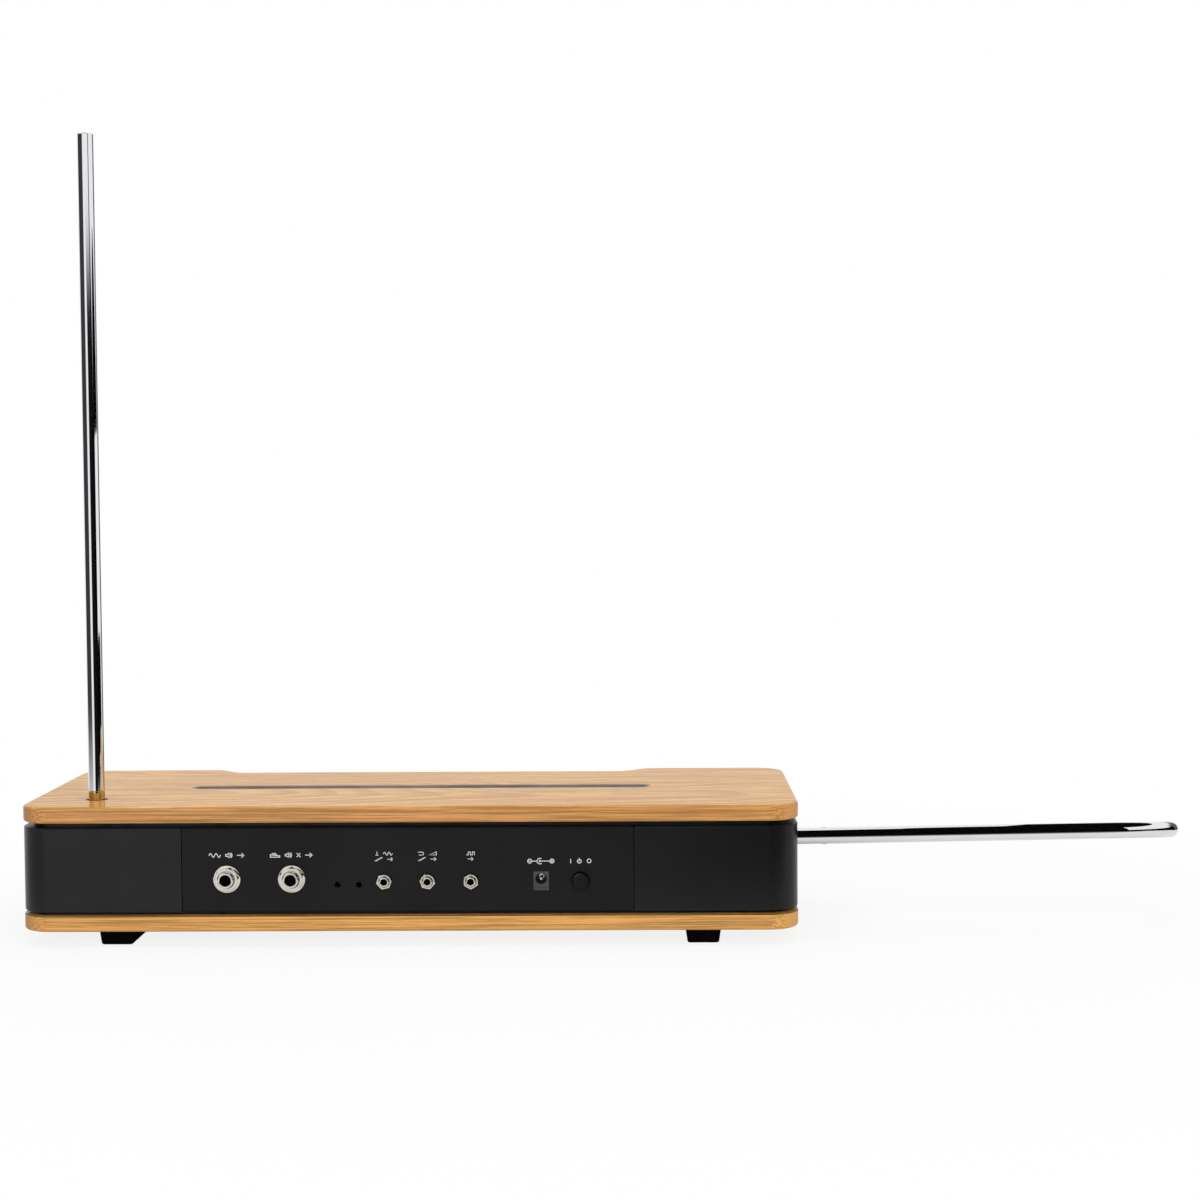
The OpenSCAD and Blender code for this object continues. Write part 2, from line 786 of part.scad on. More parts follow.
module socket_sleeve(mouth, wall) {
    difference() {
        union() {
            translate([0, 0, -sleeve_end]) cylinder(r = sleeve_r, h = sleeve_end + mouth);
            translate([0, 0, wall - 2]) cylinder(r = socket_flange_r, h = 2);
        }
        translate([0, 0, 1.5 - sleeve_end])
            cylinder(r = tube_r + running_gap, h = sleeve_end + mouth);
        translate([0, 0, -sleeve_end - eps]) cylinder(r = lead_d / 2 + close_gap, h = 3);
    }
}
module socket_sleeves() {
    color([0.08, 0.08, 0.08]) {
        at_pitch_socket() socket_sleeve(-mouth_depth, -board_t);
        at_volume_socket() socket_sleeve(volume_sink - 0.4, volume_sink - shell_t - 0.4);
    }
}

contact_tail = 4;
module socket_contact() {
    cup_l = pin_l + 1;
    translate([0, 0, 1.5 - sleeve_end]) {
        difference() {
            cylinder(r = tube_r, h = cup_l);
            translate([0, 0, 1]) cylinder(r = pin_d / 2 + running_gap, h = cup_l);
        }
        translate([0, 0, -1.5 - contact_tail]) cylinder(d = lead_d, h = contact_tail + 2);
    }
}
module socket_contacts() {
    color(brass) {
        at_pitch_socket() socket_contact();
        at_volume_socket() socket_contact();
    }
}

// Straight runs of insulated wire with round corners
module wire(points) {
    for (i = [0 : len(points) - 2]) {
        v = points[i + 1] - points[i];
        translate(points[i])
            rotate([0, acos(v[2] / norm(v)), atan2(v[1], v[0])])
                cylinder(d = lead_d, h = norm(v), $fn = 24);
        if (i > 0) translate(points[i]) sphere(d = lead_d + 0.1, $fn = 24);
    }
}
module antenna_leads() {
    z_land = z_pcb + pcb_t;
    tail_z = z_case - sleeve_end - contact_tail;
    tail_x = x_side - volume_sink - sleeve_end - contact_tail;
    color([0.75, 0.15, 0.1]) {
        wire([[pitch_x, pitch_y, tail_z], [pitch_x, pitch_y, z_land + 6],
            [-coil_x - 24, -8, z_land + 6], [-coil_x - 24, -8, z_land]]);
        wire([[tail_x, pitch_y, volume_z - tan(socket_rise) * (x_side - tail_x)],
            [tail_x - 5, pitch_y, volume_z - 1], [tail_x - 5, -10, z_land + 6],
            [tail_x - 5, -10, z_land]]);
    }
}

// ---- antennas

spigot_r = tube_r - tube_wall - running_gap;
module antenna_plug() {
    cylinder(r = tube_r, h = band_h);
    translate([0, 0, band_h]) cylinder(r = spigot_r, h = spigot_l);
    translate([0, 0, -plug_l]) cylinder(r = tube_r, h = plug_l);
    translate([0, 0, -plug_l - pin_l + 1]) cylinder(d = pin_d, h = pin_l);
    translate([0, 0, -plug_l - pin_l])
        cylinder(r1 = pin_d / 2 - 1, r2 = pin_d / 2, h = 1);
}
module pitch_plug() {
    color(brass) at_pitch_socket() antenna_plug();
}
module volume_plug() {
    color(brass) at_volume_socket() antenna_plug();
}

module tube_ring() {
    difference() {
        circle(tube_r);
        circle(tube_r - tube_wall);
    }
}
module pitch_rod() {
    color(chrome) at_pitch_socket() {
        translate([0, 0, band_h]) linear_extrude(rod_len - band_h) tube_ring();
        translate([0, 0, rod_len - 1.5]) cylinder(r = tube_r - tube_wall, h = 1.5);
    }
}

// The loop lies in its own YZ plane, with its stem along +Z
module in_loop_frame() {
    at_volume_socket() rotate([0, 0, -loop_tilt]) children();
}
module tube_bend(y, z, r, from, sweep) {
    translate([0, y, z]) rotate([0, 90, 0]) rotate([0, 0, from])
        rotate_extrude(angle = sweep) translate([r, 0]) tube_ring();
}
loop_start = band_h + free_gap;
loop_turn = volume_sink + loop_reach - tube_r - loop_w / 2;
loop_back = volume_sink + loop_gap;
loop_end_y = tube_r + 8;
module volume_loop() {
    color(chrome) in_loop_frame() {
        translate([0, 0, loop_start]) linear_extrude(loop_turn - loop_start) tube_ring();
        tube_bend(loop_w / 2, loop_turn, loop_w / 2, 90, 180);
        translate([0, loop_w, loop_back + loop_bend])
            linear_extrude(loop_turn - loop_back - loop_bend) tube_ring();
        tube_bend(loop_w - loop_bend, loop_back + loop_bend, loop_bend, 0, 90);
        translate([0, loop_w - loop_bend, loop_back]) rotate([90, 0, 0])
            linear_extrude(loop_w - loop_bend - loop_end_y) tube_ring();
    }
}
cap_t = 1;
cap_l = 12;
module loop_end_cap() {
    color(black) in_loop_frame() translate([0, loop_end_y, loop_back]) rotate([-90, 0, 0])
        difference() {
            translate([0, 0, -cap_t]) cylinder(r = tube_r + cap_t, h = cap_l);
            cylinder(r = tube_r, h = cap_l);
        }
}

// ---- jack side

module at_large_jacks() {
    for (i = [0, 1]) on_rear(large_jack_x + i * large_jack_pitch, z_large_jack) children();
}
module at_small_jacks() {
    for (i = [-1, 0, 1]) on_rear(small_jack_x + i * small_jack_pitch, z_jack) children();
}
module at_trimmers() {
    for (i = [0, 1]) on_rear(trimmer_x + i * trimmer_pitch, z_trimmer) children();
}

// A block behind the panel, from the panel or from further in, back to the jack board
module jack_block(w, h, start = 0) {
    translate([-w / 2, -h / 2, -panel_t - jack_depth]) cube([w, h, jack_depth - start]);
}
bush_flange = 1.2;
washer_t = 1;
large_body_w = 16;
large_body_h = 20;
large_flange_d = 14;
large_nut_t = 2.5;
small_body_w = 9;
small_body_h = 10;
small_flange_d = 8;
small_nut_t = 2;
module large_jack_bodies() {
    color(black) at_large_jacks() difference() {
        jack_block(large_body_w, large_body_h, bush_flange);
        translate([0, 0, -panel_t - jack_depth + 1])
            cylinder(d = large_bore_d + 0.6, h = jack_depth);
    }
}
module jack_bush(d, bore_d, flange_d, out) {
    difference() {
        union() {
            translate([0, 0, -panel_t - bush_flange]) {
                cylinder(d = flange_d, h = bush_flange);
                cylinder(d = d, h = bush_flange + panel_t + out);
            }
        }
        translate([0, 0, -panel_t - bush_flange - eps])
            cylinder(d = bore_d, h = bush_flange + panel_t + out + 2 * eps);
    }
}
module large_jack_bushes() {
    color(nickel) at_large_jacks()
        jack_bush(large_bush_d, large_bore_d, large_flange_d, large_bush_l);
}
module large_jack_washers() {
    color(nickel) at_large_jacks() difference() {
        cylinder(d = large_washer_d, h = washer_t);
        translate([0, 0, -eps]) cylinder(d = large_bush_d + 0.2, h = washer_t + 2 * eps);
    }
}
module large_jack_nuts() {
    color(nickel) at_large_jacks() translate([0, 0, washer_t])
        hex_nut(large_nut_af, large_nut_t, large_bush_d + 0.1);
}
module small_jack_bodies() {
    color(black) at_small_jacks() difference() {
        jack_block(small_body_w, small_body_h, bush_flange);
        translate([0, 0, -panel_t - jack_depth + 1])
            cylinder(d = small_bore_d + 0.4, h = jack_depth);
    }
}
module small_jack_bushes() {
    color(nickel) at_small_jacks()
        jack_bush(small_bush_d, small_bore_d, small_flange_d, small_bush_l);
}
module small_jack_nuts() {
    turn = [12, 48, 31];
    color(nickel) for (i = [0 : 2])
        on_rear(small_jack_x + (i - 1) * small_jack_pitch, z_jack) rotate([0, 0, turn[i]])
            hex_nut(small_nut_af, small_nut_t, small_bush_d + 0.1);
}

inlet_out = 0.5;
inlet_hole_up = 1.2;
inlet_deep = 9.5;
inlet_root_t = 2;
inlet_root_d = inlet_pin_d + 1.2;
inlet_pin_in = 1.2;      // from the inlet's face back to the pin's tip
module power_inlet() {
    color([0.25, 0.25, 0.26]) on_rear(inlet_x, z_jack) difference() {
        translate([-inlet_w / 2, -inlet_tall / 2, -panel_t - jack_depth])
            cube([inlet_w, inlet_tall, panel_t + jack_depth + inlet_out]);
        translate([0, inlet_hole_up, inlet_out - inlet_deep])
            cylinder(d = inlet_hole_d, h = inlet_deep + eps);
        translate([0, inlet_hole_up, inlet_out - inlet_deep - inlet_root_t])
            cylinder(d = inlet_root_d, h = inlet_root_t + eps);
    }
}
// Stands in the inlet's hole on a wider root, which sits in the block behind it
module inlet_pin() {
    color(nickel) on_rear(inlet_x, z_jack) translate([0, inlet_hole_up, inlet_out]) {
        translate([0, 0, -inlet_deep - inlet_root_t])
            cylinder(d = inlet_root_d, h = inlet_root_t);
        translate([0, 0, -inlet_deep]) cylinder(d = inlet_pin_d, h = inlet_deep - inlet_pin_in);
    }
}

button_flange_t = 1;
plunger_r = 1.5;
plunger_in = 3.5;        // how far the plunger reaches into the switch at rest
switch_w = 8.5;
switch_front = free_gap + button_flange_t + button_travel + 0.5;
module power_button() {
    back = -panel_t - free_gap - button_flange_t;
    color(black) on_rear(button_x, z_jack) {
        translate([0, 0, back]) {
            cylinder(d = button_d + 2, h = button_flange_t);
            cylinder(d = button_d, h = button_out - back);
        }
        translate([0, 0, back - button_travel - plunger_in])
            cylinder(r = plunger_r, h = button_travel + plunger_in + eps);
    }
}
module power_switch() {
    deep = 2 * button_travel + 4;
    color([0.15, 0.16, 0.2]) on_rear(button_x, z_jack) difference() {
        jack_block(switch_w, switch_w, switch_front);
        translate([0, 0, -panel_t - free_gap - button_flange_t - deep])
            cylinder(r = plunger_r + running_gap, h = deep);
    }
}

rotor_r = 2.2;
rotor_t = 1.2;
trimmer_w = 6.5;
driver_slot_w = 0.6;
driver_slot_d = 0.5;
trimmer_front = jack_depth - 5;
module trimmer_bodies() {
    color([0.1, 0.2, 0.5]) at_trimmers() difference() {
        jack_block(trimmer_w, trimmer_w, trimmer_front);
        translate([0, 0, -panel_t - trimmer_front - rotor_t / 2])
            cylinder(r = rotor_r + running_gap, h = rotor_t);
    }
}
module trim_screw(i) {
    color(brass) on_rear(trimmer_x + i * trimmer_pitch, z_trimmer)
        translate([0, 0, -panel_t - trimmer_front - rotor_t / 2 + 0.05]) difference() {
            cylinder(r = rotor_r, h = rotor_t);
            translate([-rotor_r - eps, -driver_slot_w / 2, rotor_t - driver_slot_d])
                cube([2 * (rotor_r + eps), driver_slot_w, driver_slot_d + eps]);
        }
}
module pitch_trim_screw() {
    trim_screw(0);
}
module volume_trim_screw() {
    trim_screw(1);
}

// ---- player's side

module at_knob(i) {
    on_front((i - 1.5) * knob_pitch, z_knob) children();
}
module at_knobs() {
    for (i = [0 : 3]) at_knob(i) children();
}
pot_bush_d = 7;
pot_nut_t = 2;
pot_nut_af = 10;
pot_body_w = 12;
shaft_in = 5;
shaft_out = knob_gap + knob_l - 2;
module pot_bodies() {
    color([0.2, 0.3, 0.25]) at_knobs() difference() {
        translate([-pot_body_w / 2, -pot_body_w / 2, -panel_t - pot_depth])
            cube([pot_body_w, pot_body_w, pot_depth]);
        translate([0, 0, -panel_t - shaft_in - free_gap])
            cylinder(r = shaft_d / 2 + running_gap, h = shaft_in + 1);
    }
}
module pot_bushes() {
    color(nickel) at_knobs() translate([0, 0, -panel_t]) difference() {
        cylinder(d = pot_bush_d, h = panel_t + pot_bush_l);
        translate([0, 0, -eps])
            cylinder(r = shaft_d / 2 + running_gap, h = panel_t + pot_bush_l + 2 * eps);
    }
}
module pot_nuts() {
    color(nickel) at_knobs() hex_nut(pot_nut_af, pot_nut_t, pot_bush_d + 0.1);
}
module d_shape(r) {
    difference() {
        circle(r);
        translate([-r, r / 2]) square([2 * r, r]);
    }
}
// The shaft is round in its bush and has a flat in the knob
module shaft(i) {
    flat_from = pot_bush_l + 0.3;
    color(steel) at_knob(i) {
        translate([0, 0, -panel_t - shaft_in])
            cylinder(d = shaft_d, h = panel_t + shaft_in + flat_from);
        translate([0, 0, flat_from]) linear_extrude(shaft_out - flat_from)
            d_shape(shaft_d / 2);
    }
}
knob_skirt_h = 3;
knob_hollow_r = 6.6;
pointer_w = 1.2;
pointer_l = 7;
pointer_deep = 0.6;
module knob(i) {
    color([0.1, 0.1, 0.1]) at_knob(i) translate([0, 0, knob_gap]) difference() {
        union() {
            cylinder(d = knob_skirt_d, h = knob_skirt_h);
            cylinder(d1 = knob_d + 1, d2 = knob_d - 1, h = knob_l);
        }
        translate([0, 0, -eps])
            cylinder(r = knob_hollow_r, h = pot_bush_l + 0.5 - knob_gap + eps);
        linear_extrude(shaft_out - knob_gap + close_gap) d_shape(shaft_d / 2 + close_gap / 2);
        translate([-pointer_w / 2, knob_d / 2 - pointer_l, knob_l - pointer_deep])
            cube([pointer_w, pointer_l + 1, pointer_deep + eps]);
    }
}
module volume_knob() {
    knob(3);
}
module pitch_knob() {
    knob(2);
}
module waveform_knob() {
    knob(1);
}
module brightness_knob() {
    knob(0);
}
module volume_shaft() {
    shaft(3);
}
module pitch_shaft() {
    shaft(2);
}
module waveform_shaft() {
    shaft(1);
}
module brightness_shaft() {
    shaft(0);
}

module indicator_lamp() {
    color([0.9, 0.3, 0.2]) on_front(0, z_knob) {
        translate([0, 0, -panel_t - pot_depth])
            cylinder(d = lamp_d, h = panel_t + pot_depth + 0.2);
        translate([0, 0, 0.2]) sphere(d = lamp_d);
    }
}

top_board();
bottom_board();
left_end_shell();
right_end_shell();
rear_panel();
front_panel();
base_plate();
top_frame();
slot_liner();
wood_screws();
case_screws();
board_inserts();
panel_screws();
feet();
stand_flange();
main_circuit_board();
standoffs();
board_screws();
jack_circuit_board();
knob_circuit_board();
ribbon_cables();
oscillator_cans();
circuit_chips();
capacitors();
coil_circuit_boards();
antenna_coils();
antenna_leads();
socket_sleeves();
socket_contacts();
pitch_plug();
pitch_rod();
volume_plug();
volume_loop();
loop_end_cap();
large_jack_bodies();
large_jack_bushes();
large_jack_washers();
large_jack_nuts();
small_jack_bodies();
small_jack_bushes();
small_jack_nuts();
power_inlet();
inlet_pin();
power_switch();
power_button();
trimmer_bodies();
pitch_trim_screw();
volume_trim_screw();
pot_bodies();
pot_bushes();
pot_nuts();
indicator_lamp();
volume_knob();
pitch_knob();
waveform_knob();
brightness_knob();
volume_shaft();
pitch_shaft();
waveform_shaft();
brightness_shaft();
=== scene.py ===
"""The looks of a theremin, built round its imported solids.

Two lacquered boards clamp a black body. The pitch antenna stands at the left, the volume loop
lies at the right, the jacks are at the rear and the knobs face the player.
Lengths are written in millimetres and turned into metres when a mesh is made.
"""

import json
import math

import bmesh
import bpy
from bpy.props import FloatProperty, FloatVectorProperty, IntProperty, PointerProperty
from mathutils import Matrix, Vector


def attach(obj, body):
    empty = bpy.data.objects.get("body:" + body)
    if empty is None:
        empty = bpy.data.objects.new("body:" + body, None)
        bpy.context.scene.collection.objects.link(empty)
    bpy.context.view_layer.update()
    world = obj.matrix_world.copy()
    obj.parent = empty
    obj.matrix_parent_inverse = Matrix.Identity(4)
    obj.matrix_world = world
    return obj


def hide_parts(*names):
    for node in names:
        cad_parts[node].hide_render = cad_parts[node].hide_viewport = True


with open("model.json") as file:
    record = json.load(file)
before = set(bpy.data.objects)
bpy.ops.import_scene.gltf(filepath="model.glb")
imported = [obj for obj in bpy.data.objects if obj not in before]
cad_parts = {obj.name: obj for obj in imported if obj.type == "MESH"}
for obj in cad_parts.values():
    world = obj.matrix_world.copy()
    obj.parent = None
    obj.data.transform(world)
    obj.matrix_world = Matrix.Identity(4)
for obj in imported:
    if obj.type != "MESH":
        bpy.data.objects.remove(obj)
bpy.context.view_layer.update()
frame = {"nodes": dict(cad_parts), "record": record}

bl_info = {
    "name": "Theremin looks",
    "version": (1, 0, 0),
    "blender": (4, 5, 0),
    "location": "View3D > Sidebar > Theremin",
    "description": "Boards, shells, antennas, jacks, knobs and marks of a theremin",
    "category": "Object",
}

MM = 0.001

# ---- sizes of the part's own source, in millimetres

CASE_W, CASE_D, CORNER_R, BOARD_T = 450.0, 172.0, 18.0, 9.5
Z_PLATE, Z_BODY, Z_LID, Z_TOP, Z_CASE = 9.5, 11.2, 60.2, 62.8, 72.3
BODY_INSET, SEAM_GAP, SHELL_T, LIP_W = 0.3, 0.2, 2.5, 20.0
PANEL_T, PANEL_LIP, PANEL_W, RECESS_D, RECESS_END = 2.0, 14.0, 260.0, 14.0, 20.0
FRONT_W = PANEL_W - RECESS_END
Y_REAR = -CASE_D / 2 + BODY_INSET
Y_FRONT = CASE_D / 2 - RECESS_D - BODY_INSET
TONGUE_L, TONGUE_T, POST_R, POST_IN = 8.0, 3.0, 5.0, 22.0
SCREW_R, HEAD_R, HEAD_DEEP, INSERT_R, INSERT_L = 2.25, 4.3, 4.2, 3.6, 8.0
SLOT_L, SLOT_W, SLOT_DEEP, LINER_T, LINER_FLANGE = PANEL_W + RECESS_END, 16.0, 11.0, 1.5, 8.0
LINER_SINK, LINER_PITCH = 0.15, 100.0
TUBE_R, BORE_R, ROD_L, BAND_H = 4.7625, 3.8625, 389.0, 5.2
PITCH_X, PITCH_Y, HOLE_R = -186.6, -50.5, 6.35
X_SIDE, VOLUME_Z, VOLUME_SINK, SOCKET_RISE, LOOP_TILT = 224.7, 48.7, 6.2, 0.8, 8.9
LOOP_W, LOOP_BEND, LOOP_START, LOOP_TURN, LOOP_BACK = 94.0, 30.0, 5.5, 187.7375, 24.2
LOOP_END = TUBE_R + 8.0
Z_LARGE, Z_SMALL, Z_TRIM, Z_KNOB = 30.6, 28.9, 26.9, 35.7
LARGE_X, SMALL_X, TRIM_X = (-103.9, -66.6), (-13.4, 11.5, 36.4), (-40.4, -28.0)
SMALL_TURN = (12.0, 48.0, 31.0)
INLET_X, BUTTON_X, LAMP_R = 76.7, 99.3, 1.5
KNOBS = {"brightness": -90.0, "waveform": -30.0, "pitch": 30.0, "volume": 90.0}
KNOB_GAP, FOOT_H, FOOT_W, FOOT_L, FOOT_SIDE, FOOT_IN = 0.9, 8.8, 20.7, 40.0, 55.3, 8.0
FLANGE_R, FLANGE_T, BOSS_R, BOSS_H, STAND_R, FLANGE_SCREW_R = 26.0, 2.5, 10.95, 12.7, 7.95, 19.0
PANEL_SCREW_X, PANEL_SCREW_IN = 90.0, 10.0
PANEL_HEAD_R, PANEL_HEAD_H, PANEL_SHANK_R, PANEL_SCREW_L = 2.95, 1.35, 1.6, 6.0
WOOD_SCREW_L, WOOD_SHANK_R, WOOD_HEAD_R, WOOD_HEAD_H, FOOT_SCREW_Z = 7.6, 1.5, 2.9, 1.4, -3.8
PLUG_L, SPIGOT_L, CAP_L, CAP_WALL, TRIM_HOLE_R, POT_HOLE_R = 30.0, 14.0, 11.0, 0.3, 1.6, 3.6
LARGE_BUSH_R, LARGE_BORE_R, LARGE_FLANGE_R, LARGE_OUT = 4.75, 3.225, 7.0, 6.6
SMALL_BUSH_R, SMALL_BORE_R, SMALL_FLANGE_R, SMALL_OUT = 3.0, 1.8, 4.0, 3.4
WASHER_R, WASHER_T, WASHER_BORE_R = 7.9, 1.0, 4.85
LARGE_NUT_W, LARGE_NUT_T, SMALL_NUT_W, SMALL_NUT_T, NUT_PLAY = 13.0, 2.5, 8.0, 2.0, 0.05
INLET_W, INLET_H, INLET_BORE_R, INLET_UP, PIN_R, BUTTON_R = 9.0, 11.0, 3.2, 1.2, 1.05, 4.75
SKIRT_R, GRIP_R, KNOB_H, SHAFT_HOLE_R = 11.5, 10.0, 13.0, 3.05
SIGN_Z, SMALL_SIGN_Z, POWER_SIGN_Z, HEAD_SIGN_UP = 44.3, (44.9, 41.7), 40.3, 21.3
SIGN_H, SMALL_SIGN_H, POWER_SIGN_H, HEAD_SIGN_H, NUMERAL_H = 2.7, 2.1, 2.6, 2.4, 3.1
TICK_IN, TICK_OUT, LONG_TICK_OUT, TICK_W, NUMERAL_R = 12.9, 14.2, 15.0, 0.4, 17.3
CORNER_STEPS, END_STEP_Y = 14, -10.0


def moved(x, y, z=0.0):
    """A place in the row frame with the frame's own directions."""
    return Matrix.Translation((x, y, z))


def turned_by(degrees, axis):
    """A turn about one of the frame's axes."""
    return Matrix.Rotation(math.radians(degrees), 4, axis)


def on_rear(x, z):
    """A place on the rear panel whose own +Z points out of it and +Y up."""
    return moved(x, Y_REAR, z) @ turned_by(90, "X")


def on_front(x, z):
    """A place on the front panel whose own +Z points out of it and +Y up."""
    return moved(x, Y_FRONT, z) @ turned_by(180, "Z") @ turned_by(90, "X")


AT_PITCH = moved(PITCH_X, PITCH_Y, Z_CASE)
AT_VOLUME = moved(X_SIDE, PITCH_Y, VOLUME_Z) @ turned_by(90 - SOCKET_RISE, "Y") @ moved(
    0, 0, -VOLUME_SINK)
AT_LOOP = AT_VOLUME @ turned_by(-LOOP_TILT, "Z")
POSTS = [(sx * (CASE_W / 2 - POST_IN), sy * (CASE_D / 2 - POST_IN))
         for sx in (-1, 1) for sy in (-1, 1)]
FEET = [(sx * (CASE_W / 2 - FOOT_SIDE), sy * (CASE_D / 2 - FOOT_IN - FOOT_L / 2))
        for sx in (-1, 1) for sy in (-1, 1)]
SEAMS = (PANEL_W / 2 + SEAM_GAP, FRONT_W / 2 + SEAM_GAP)
FLANGE_SCREWS = [(FLANGE_SCREW_R * math.cos(t), FLANGE_SCREW_R * math.sin(t))
                 for t in map(math.radians, (90, 210, 330))]


# ---- shader maths

def maths(operation, reflected=False):
    """A method of Wire that adds a Math or a Vector Math node."""
    def method(self, *others):
        kind = "ShaderNodeVectorMath" if self.socket.type == "VECTOR" else "ShaderNodeMath"
        values = (*others, self) if reflected else (self, *others)
        return self.board.node(kind, {"operation": operation}, values)
    return method


class Wire:
    """A node's output. Python's operators on it add Math or Vector Math nodes."""

    __add__, __radd__ = maths("ADD"), maths("ADD", True)
    __sub__, __rsub__ = maths("SUBTRACT"), maths("SUBTRACT", True)
    __mul__, __rmul__ = maths("MULTIPLY"), maths("MULTIPLY", True)
    __truediv__, __rtruediv__ = maths("DIVIDE"), maths("DIVIDE", True)
    __abs__, fract, root, sine = maths("ABSOLUTE"), maths("FRACT"), maths("SQRT"), maths("SINE")

    def __init__(self, board, socket):
        self.board, self.socket = board, socket


class Board:
    """The node tree of a material or of the world, with its output node."""

    def __init__(self, owner, output):
        owner.use_nodes = True
        self.tree = owner.node_tree
        self.tree.nodes.clear()
        self.output = self.node(output)

    def node(self, kind, settings=None, values=(), out=0):
        """Adds a node. Settings come first, then values or links, by socket number or name."""
        made = self.tree.nodes.new(kind)
        for name, value in (settings or {}).items():
            setattr(made, name, value)
        pairs = values.items() if isinstance(values, dict) else enumerate(values)
        for key, value in pairs:
            self.feed(made.inputs[key], value)
        return Wire(self, made.outputs[out]) if made.outputs else made

    def outputs(self, wire, *names):
        """The outputs of the node that a wire comes from."""
        return [Wire(self, wire.socket.node.outputs[name]) for name in names]

    def show(self, shader):
        """Makes a shader what the surface or the world shows."""
        self.feed(self.output.inputs["Surface"], shader)

    def feed(self, socket, value):
        """Links a wire to a socket, or writes a plain value into it."""
        if isinstance(value, Wire):
            self.tree.links.new(value.socket, socket)
        elif socket.type == "RGBA" and len(value) == 3:
            socket.default_value = (*value, 1.0)
        else:
            socket.default_value = value

    def place(self):
        """The point on the piece in the row frame, in millimetres."""
        at = self.node("ShaderNodeTexCoord", out=3)
        return self.node("ShaderNodeVectorMath", {"operation": "SCALE"}, {0: at, "Scale": 1000.0})

    def split(self, vector):
        """The three parts of a vector."""
        return self.outputs(self.node("ShaderNodeSeparateXYZ", values=(vector,)), 0, 1, 2)

    def point(self, x, y, z):
        return self.node("ShaderNodeCombineXYZ", values=(x, y, z))

    def faced(self):
        """The three parts of the direction that the piece's surface faces."""
        return self.split(self.node("ShaderNodeTexCoord", out=1))

    def rays(self):
        """Whether the camera, a clear piece or a shiny piece looks."""
        return self.outputs(self.node("ShaderNodeLightPath"), "Is Camera Ray",
                            "Is Transmission Ray", "Is Glossy Ray")

    def noise(self, vector, scale=1.0, detail=3.0, rough=0.5):
        return self.node("ShaderNodeTexNoise", {}, {
            "Vector": vector, "Scale": scale, "Detail": detail, "Roughness": rough})

    def smooth(self, value, low, high):
        """0 below low, 1 over high, and a soft step between them."""
        return self.node("ShaderNodeMapRange", {"interpolation_type": "SMOOTHSTEP"}, {
            "Value": value, "From Min": low, "From Max": high})

    def mix(self, share, first, second):
        """From the first colour to the second."""
        return self.node("ShaderNodeMix", {"data_type": "RGBA"}, {0: share, 6: first, 7: second},
                         out=2)


class Finish(Board):
    """A material with one Principled shader."""

    def __init__(self, name, fixed):
        self.material = bpy.data.materials.new(name)
        super().__init__(self.material, "ShaderNodeOutputMaterial")
        self.shader = self.node("ShaderNodeBsdfPrincipled", values=fixed)
        self.show(self.shader)

    def set(self, **inputs):
        """Feeds the shader's sockets. An underscore in a name stands for a space."""
        for name, value in inputs.items():
            self.feed(self.shader.socket.node.inputs[name.replace("_", " ")], value)

    def bump(self, height, deep, strength=1.0):
        """Sets the relief. Height is 0 to 1 and deep is its depth in millimetres."""
        relief = self.node("ShaderNodeBump", {}, {
            "Strength": strength, "Distance": deep * MM, "Height": height})
        self.set(Normal=relief)


def dimmed(colour, share):
    """A darker or lighter colour."""
    return tuple(c * share for c in colour)


# ---- finishes

